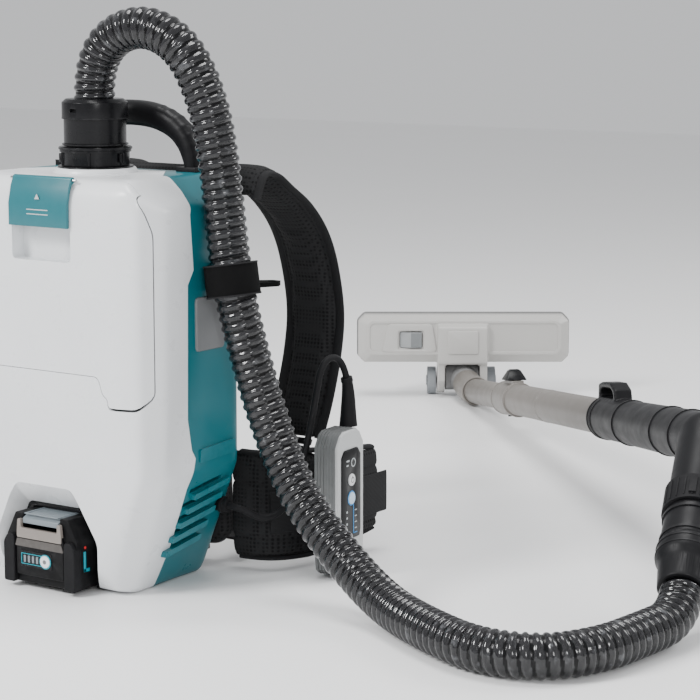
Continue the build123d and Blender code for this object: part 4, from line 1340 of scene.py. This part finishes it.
def make_panel():
    """Dark panel with its two keys and plain printed marks."""
    dressed("control_panel", "panel_black", 0.0003, 2, 30, "control_panel_face")
    dressed("power_button", "white_key", 0.0008, 3, 30, "power_button_cap")
    dressed("mode_button", "blue_key", 0.0008, 3, 30, "mode_button_cap")
    power_z, mode_z = [sum(corner.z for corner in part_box(node)) / 2 / MM
                       for node in ("power_button", "mode_button")]
    ring = lathe([(2.0, 13.15), (2.7, 13.15), (2.7, 13.35), (2.0, 13.35)], (0, 0, power_z), (1, 0, 0), 32)
    mark = joined([ring, block((13.1, -0.3, power_z + 1.2), (13.4, 0.3, power_z + 3.6), 0)])
    detail(on_control(mark), "power_mark", "mid_grey", "power_button")
    outline = [panel_ring(5.6, 1.0, 0, mode_z, 48), panel_mark(3.2, 38, 4.2, mode_z - 5.5),
               panel_mark(3.2, 38, 10.5, 38.8)]
    detail(on_control(joined(outline)), "mode_outline", "print_blue", "control_panel")
    lights = []
    for row in range(4):
        z = 42 + row * 5.4
        lights += [panel_mark(5.9, z, 9.7, z + 0.9, 0.35), panel_mark(-9.3, z, -7.1, z + 1.8, 0.35)]
    lights += [panel_ring(3.0, 1.0, 3.5, 102, 32), panel_mark(-9, 104, -4, 105.4, 0.35),
               panel_mark(-9, 100, -5.5, 101.4, 0.35)]
    detail(on_control(joined(lights)), "control_lights", "print_light", "control_panel")


# ---- wand and handle ------------------------------------------------------------------------------------
WAND_FAR = Vector((-148, 876, 20))
WAND_NEAR = Vector((257, 460, 95))
HANDLE_BEND = Vector((465, 247, 133))
HANDLE_END = Vector((503, 141.5, 61))
WAND_AXIS = (WAND_NEAR - WAND_FAR).normalized()
GRIP_AXIS = (HANDLE_END - HANDLE_BEND).normalized()
INNER_SHOWN = 164
KNOB_PLACE = INNER_SHOWN + 38


def on_line(start, axis):
    """Places a shape whose Z lies along an axis and whose Y points up from it."""
    side = Vector((0, 0, 1)).cross(axis).normalized()
    rise = axis.cross(side)
    turn = Matrix((side, rise, axis)).transposed().to_4x4()
    return Matrix.Translation(start * MM) @ turn


def bands(places, inner, outer, width):
    """Raised rings round the Z axis at the given places."""
    made = []
    for place in places:
        low, high = place - width / 2, place + width / 2
        profile = [(inner, low), (outer - 0.25, low), (outer, low + 0.25), (outer, high - 0.25),
                   (outer - 0.25, high), (inner, high)]
        made.append(lathe(profile, (0, 0, 0), sides=72))
    return joined(made)


def frustum(half_width, half_length, low, top_half_width, top_half_length, high):
    """A block that narrows upward along Y."""
    bm = bmesh.new()
    rings = []
    for x, z, up in ((half_width, half_length, low), (top_half_width, top_half_length, high)):
        rings.append(outline_ring(bm, [(-x, -z), (x, -z), (x, z), (-x, z)], "y", up))
    return close_rings(bm, rings)


def make_wand():
    """Inner and outer tube with their rings, the pin and the ribbed lock knob."""
    dressed("wand_inner_tube", "wand_grey", 0.0004, 2, 40, "inner_tube")
    dressed("wand_outer_tube", "wand_grey", 0.0008, 3, 35, "outer_tube")
    at_knob = on_line(WAND_FAR + WAND_AXIS * KNOB_PLACE, WAND_AXIS)
    knob = moved(frustum(12.5, 14, 22.1, 6.5, 5.5, 34), at_knob)
    knob = detail(knob, "lock_knob", "black_plastic", "wand_lock_knob")
    beveled(knob, 1.5 * MM, 2, 20, 30)
    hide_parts("wand_lock_knob")
    at_foot = on_line(WAND_FAR, WAND_AXIS)
    rings = moved(bands([INNER_SHOWN + 2.2, INNER_SHOWN + 59.5], 18.6, 20.0, 3.4), at_foot)
    detail(rings, "wand_collar_rings", "wand_grey", "wand_outer_tube")
    seam = moved(bands([INNER_SHOWN + 200, INNER_SHOWN + 203.5], 17.4, 18.0, 1.6), at_foot)
    detail(seam, "wand_seam_rings", "wand_grey", "wand_outer_tube")
    ribs = [block((-5, 33.5, -4 + 2.4 * k), (5, 34.6, -3 + 2.4 * k), 0.2) for k in range(4)]
    detail(moved(joined(ribs), at_knob), "knob_ribs", "black_plastic", "wand_lock_knob")
    pin = cylinder((0, -21.4, 14), (0, -18.6, 14), 2.0, sides=20)
    pin = moved(pin, on_line(WAND_FAR + WAND_AXIS * INNER_SHOWN, WAND_AXIS))
    detail(pin, "wand_pin", "black_plastic", "wand_outer_tube")


def make_grip():
    """Handle with its rings, the suction regulator and the hose cuff."""
    melted("grip_handle", 1.3 * MM, 5, factor=0.55)
    socket = moved(bands([2.2, 8.6, 12.4], 20.4, 21.7, 2.4), on_line(WAND_NEAR, WAND_AXIS))
    detail(socket, "handle_socket_rings", "black_handle", "grip_handle")
    bow_start = WAND_NEAR + WAND_AXIS * 60
    seams = [bands([reach], 20.9 + reach / 160, 22.0 + reach / 160, 1.6) for reach in (30, 150, 206)]
    seams = moved(joined(seams), on_line(bow_start, (HANDLE_BEND - bow_start).normalized()))
    detail(seams, "handle_seam_rings", "black_handle", "grip_handle")
    at_end = on_line(HANDLE_END, GRIP_AXIS)
    detail(moved(bands([-30, -6], 23, 24.9, 3), at_end), "handle_end_rings", "black_handle", "grip_handle")
    dressed("suction_regulator", "black_rubber", 0.0009, 3, 30, "regulator_ring")
    ribs = []
    for k in range(24):
        if k not in (5, 6, 7):              # the air slot
            rib = block((-0.7, 25.8, -60.5), (0.7, 26.9, -39.5), 0.25)
            ribs.append(moved(rib, Matrix.Rotation(tau * k / 24, 4, "Z")))
    detail(moved(joined(ribs), at_end), "regulator_ribs", "black_rubber", "suction_regulator")
    dressed("handle_hose_cuff", "black_handle", 0.0011, 3, 30, "hose_cuff")
    rings = moved(bands([4, 11.5], 25.2, 26.1, 1.8), at_end)
    detail(rings, "hose_cuff_rings", "black_handle", "handle_hose_cuff")


# ---- floor nozzle ---------------------------------------------------------------------------------------
NOZZLE_PLACE = Matrix.Translation((-0.1945, 0.9215, 0)) @ Matrix.Rotation(radians(34.6), 4, "Z")


def on_nozzle(bm, name, material, bevel=0.0):
    """A piece of the nozzle's body, made along the nozzle's own axes."""
    piece = detail(moved(bm, NOZZLE_PLACE), name, material, "nozzle_body")
    if bevel:
        beveled(piece, bevel * MM)


def make_nozzle():
    """Body with rim, pedal surround, plate and skirt, then its sole, joints, wheels and brushes."""
    melted("nozzle_body", 1.2 * MM, 4, "nozzle_white", 0.5)
    dressed("nozzle_sole", "nozzle_grey", 0.0005, 2, 35, "sole_plate")
    outer = rounded_outline([(-104, 60), (-34, 60), (-40, 96), (-96, 96)], 5, 5)
    inner = rounded_outline([(-83.5, 63), (-50.5, 63), (-50.5, 87), (-83.5, 87)], 3, 5)
    on_nozzle(frame_prism(outer, inner, "y", -3.6, -1), "nozzle_pedal_surround", "nozzle_white", 0.8)
    rim_out = rounded_outline([(-124, 63), (-118, 56), (118, 56), (124, 63),
                               (124, 94), (118, 100), (-118, 100), (-124, 94)], 4, 4)
    rim_in = rounded_outline([(-119, 65), (-115, 60.5), (115, 60.5), (119, 65),
                              (119, 92), (115, 96), (-115, 96), (-119, 92)], 4, 4)
    on_nozzle(frame_prism(rim_out, rim_in, "y", -2.9, 0), "nozzle_face_rim", "nozzle_white", 0.6)
    raised = rounded_outline([(-21, 58), (18, 58), (18, 88), (-21, 88)], 3, 4)
    on_nozzle(prism(raised, "y", -11.6, -9), "nozzle_hump_plate", "nozzle_white", 0.7)
    skirt_out = rounded_outline([(-135.6, 53), (-126.8, 43.5), (126.8, 43.5), (135.6, 53), (135.6, 98),
                                 (126.8, 107.5), (-126.8, 107.5), (-135.6, 98)], 3, 3)
    skirt_in = [(x * 0.968, 75.5 + (z - 75.5) * 0.92) for x, z in skirt_out]
    on_nozzle(frame_prism(skirt_out, skirt_in, "y", 20.5, 27.2), "nozzle_skirt", "nozzle_grey", 0.6)
    caps = [cylinder((low, 34, 17.5), (low + 0.9, 34, 17.5), 6.5, sides=40) for low in (-46.3, 42.4)]
    on_nozzle(joined(caps), "wheel_caps", "wheel_grey")
    dressed("nozzle_neck", "nozzle_grey", 0.0009, 3, 30, "neck_barrel")
    dressed("nozzle_elbow", "wand_grey", 0.0008, 3, 30, "elbow")
    for name in ("nozzle_wheel_left", "nozzle_wheel_right"):
        dressed(name, "wheel_grey", 0.001, 3, 30, name + "_tyre")
    make_pedal()
    make_brushes()


def make_pedal():
    """Rocker pedal with a darker half."""
    dressed("nozzle_rocker", "rocker_grey", 0.0006, 3, 25, "pedal")
    half = prism([(0.4, -2.1), (13.4, -2.1), (13.4, -1.5), (0.4, -4.0)], "z", 66, 84)
    tilt = Matrix.Translation((-0.067, -0.0004, 0)) @ Matrix.Rotation(radians(-8), 4, "Z")
    detail(moved(half, NOZZLE_PLACE @ tilt), "pedal_half", "rocker_dark", "nozzle_rocker")


def make_brushes():
    """Brush strips with tufts along them."""
    dressed("brush_carrier", "nozzle_grey", 0.0003, 2, 40, "brush_frame")
    tufts = []
    for start, end in ((-110, -28), (25, 110)):
        count = int((end - start) / 4.1)
        for k in range(count):
            x = start + (k + 0.5) * (end - start) / count
            for z in (60.5, 89.3):
                tufts.append(cylinder((x, 24.5, z), (x + 0.3, 29.4, z), 1.0, 1.25, sides=8))
    detail(moved(joined(tufts), NOZZLE_PLACE), "brush_tufts", "bristle", "brush_carrier")


# ---- collar and inner parts -----------------------------------------------------------------------------
def make_collar():
    """Port, lock ring with its rim and grip bumps, and the swivel sleeve with its rims."""
    dressed("inlet_port", "black_plastic", 0.0007, 3, 30, "inlet_flange")
    dressed("collar_lock_ring", "black_plastic", 0.0009, 3, 30, "lock_ring")
    dressed("swivel_cuff", "black_plastic", 0.001, 3, 30, "swivel_sleeve")
    rim = lathe([(30.2, 376.2), (31.9, 376.8), (31.9, 378.4), (30.2, 378.9)], PORT_CENTRE)
    detail(rim, "lock_ring_rim", "black_plastic", "collar_lock_ring")
    centre = Matrix.Translation(Vector(PORT_CENTRE) * MM)
    bumps = []
    for angle in (-38, -32, 84, 90, 204, 210):
        bump = block((-1.0, -31.9, 366), (1.0, -29.9, 373.5), 0.45)
        bumps.append(moved(bump, centre @ Matrix.Rotation(radians(angle), 4, "Z")))
    detail(joined(bumps), "lock_ring_bumps", "black_plastic", "collar_lock_ring")
    rims = [lathe([(26.6, low), (28.7, low + 0.3), (28.7, low + 1.4), (26.6, low + 1.7)], PORT_CENTRE)
            for low in (380.2, 402.6)]
    detail(joined(rims), "swivel_rims", "black_plastic", "swivel_cuff")


INNER_NODES = {
    "steel": ("cover_hinge_pins", "latch_pin", "rotor_shaft", "motor_bearings", "housing_screws"),
    "black_rubber": ("cover_seal", "cable_gland"),
    "grey_plastic": ("fan_housing", "motor_mount"),
    "black_plastic": ("impeller", "battery_terminal", "battery_cradle", "back_frame"),
    "motor_metal": ("motor_can",),
    "circuit_board": ("circuit_board",),
    "cell_wrap": ("battery_cells",),
}


def make_inner_parts():
    """The pieces that show when the cover is open or the battery is out."""
    for material, nodes in INNER_NODES.items():
        for node in nodes:
            dressed(node, material, 0.0004, 2, 40, node + "_part")


def make_filter():
    """Pleated paper in the filter's frame."""
    dressed("hepa_filter", "grey_plastic", 0.0004, 2, 40, "filter_frame")
    low, high = [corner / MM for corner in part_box("hepa_filter")]
    count = 20
    left, right = low.x + 3.5, high.x - 3.5
    floor = high.z - 3.0
    outline = []
    for k in range(count * 2 + 1):
        outline.append((left + (right - left) * k / (count * 2), high.z + 0.6 if k % 2 else floor + 1.2))
    outline += [(right, floor), (left, floor)]
    detail(prism(outline, "y", low.y + 3.5, high.y - 3.5), "filter_pleats", "filter_paper", "hepa_filter", 20)


# ---- the whole scene ------------------------------------------------------------------------------------
PAINTS = make_materials()
make_camera()
make_studio()
make_hose()
make_cable()
make_housings()
make_flanks()
make_chamber()
make_latch()
make_carry_handle()
make_hose_band()
make_battery()
make_soft_goods()
make_bindings()
make_webbing()
make_control_unit()
make_wand()
make_grip()
make_nozzle()
make_collar()
make_inner_parts()
make_filter()
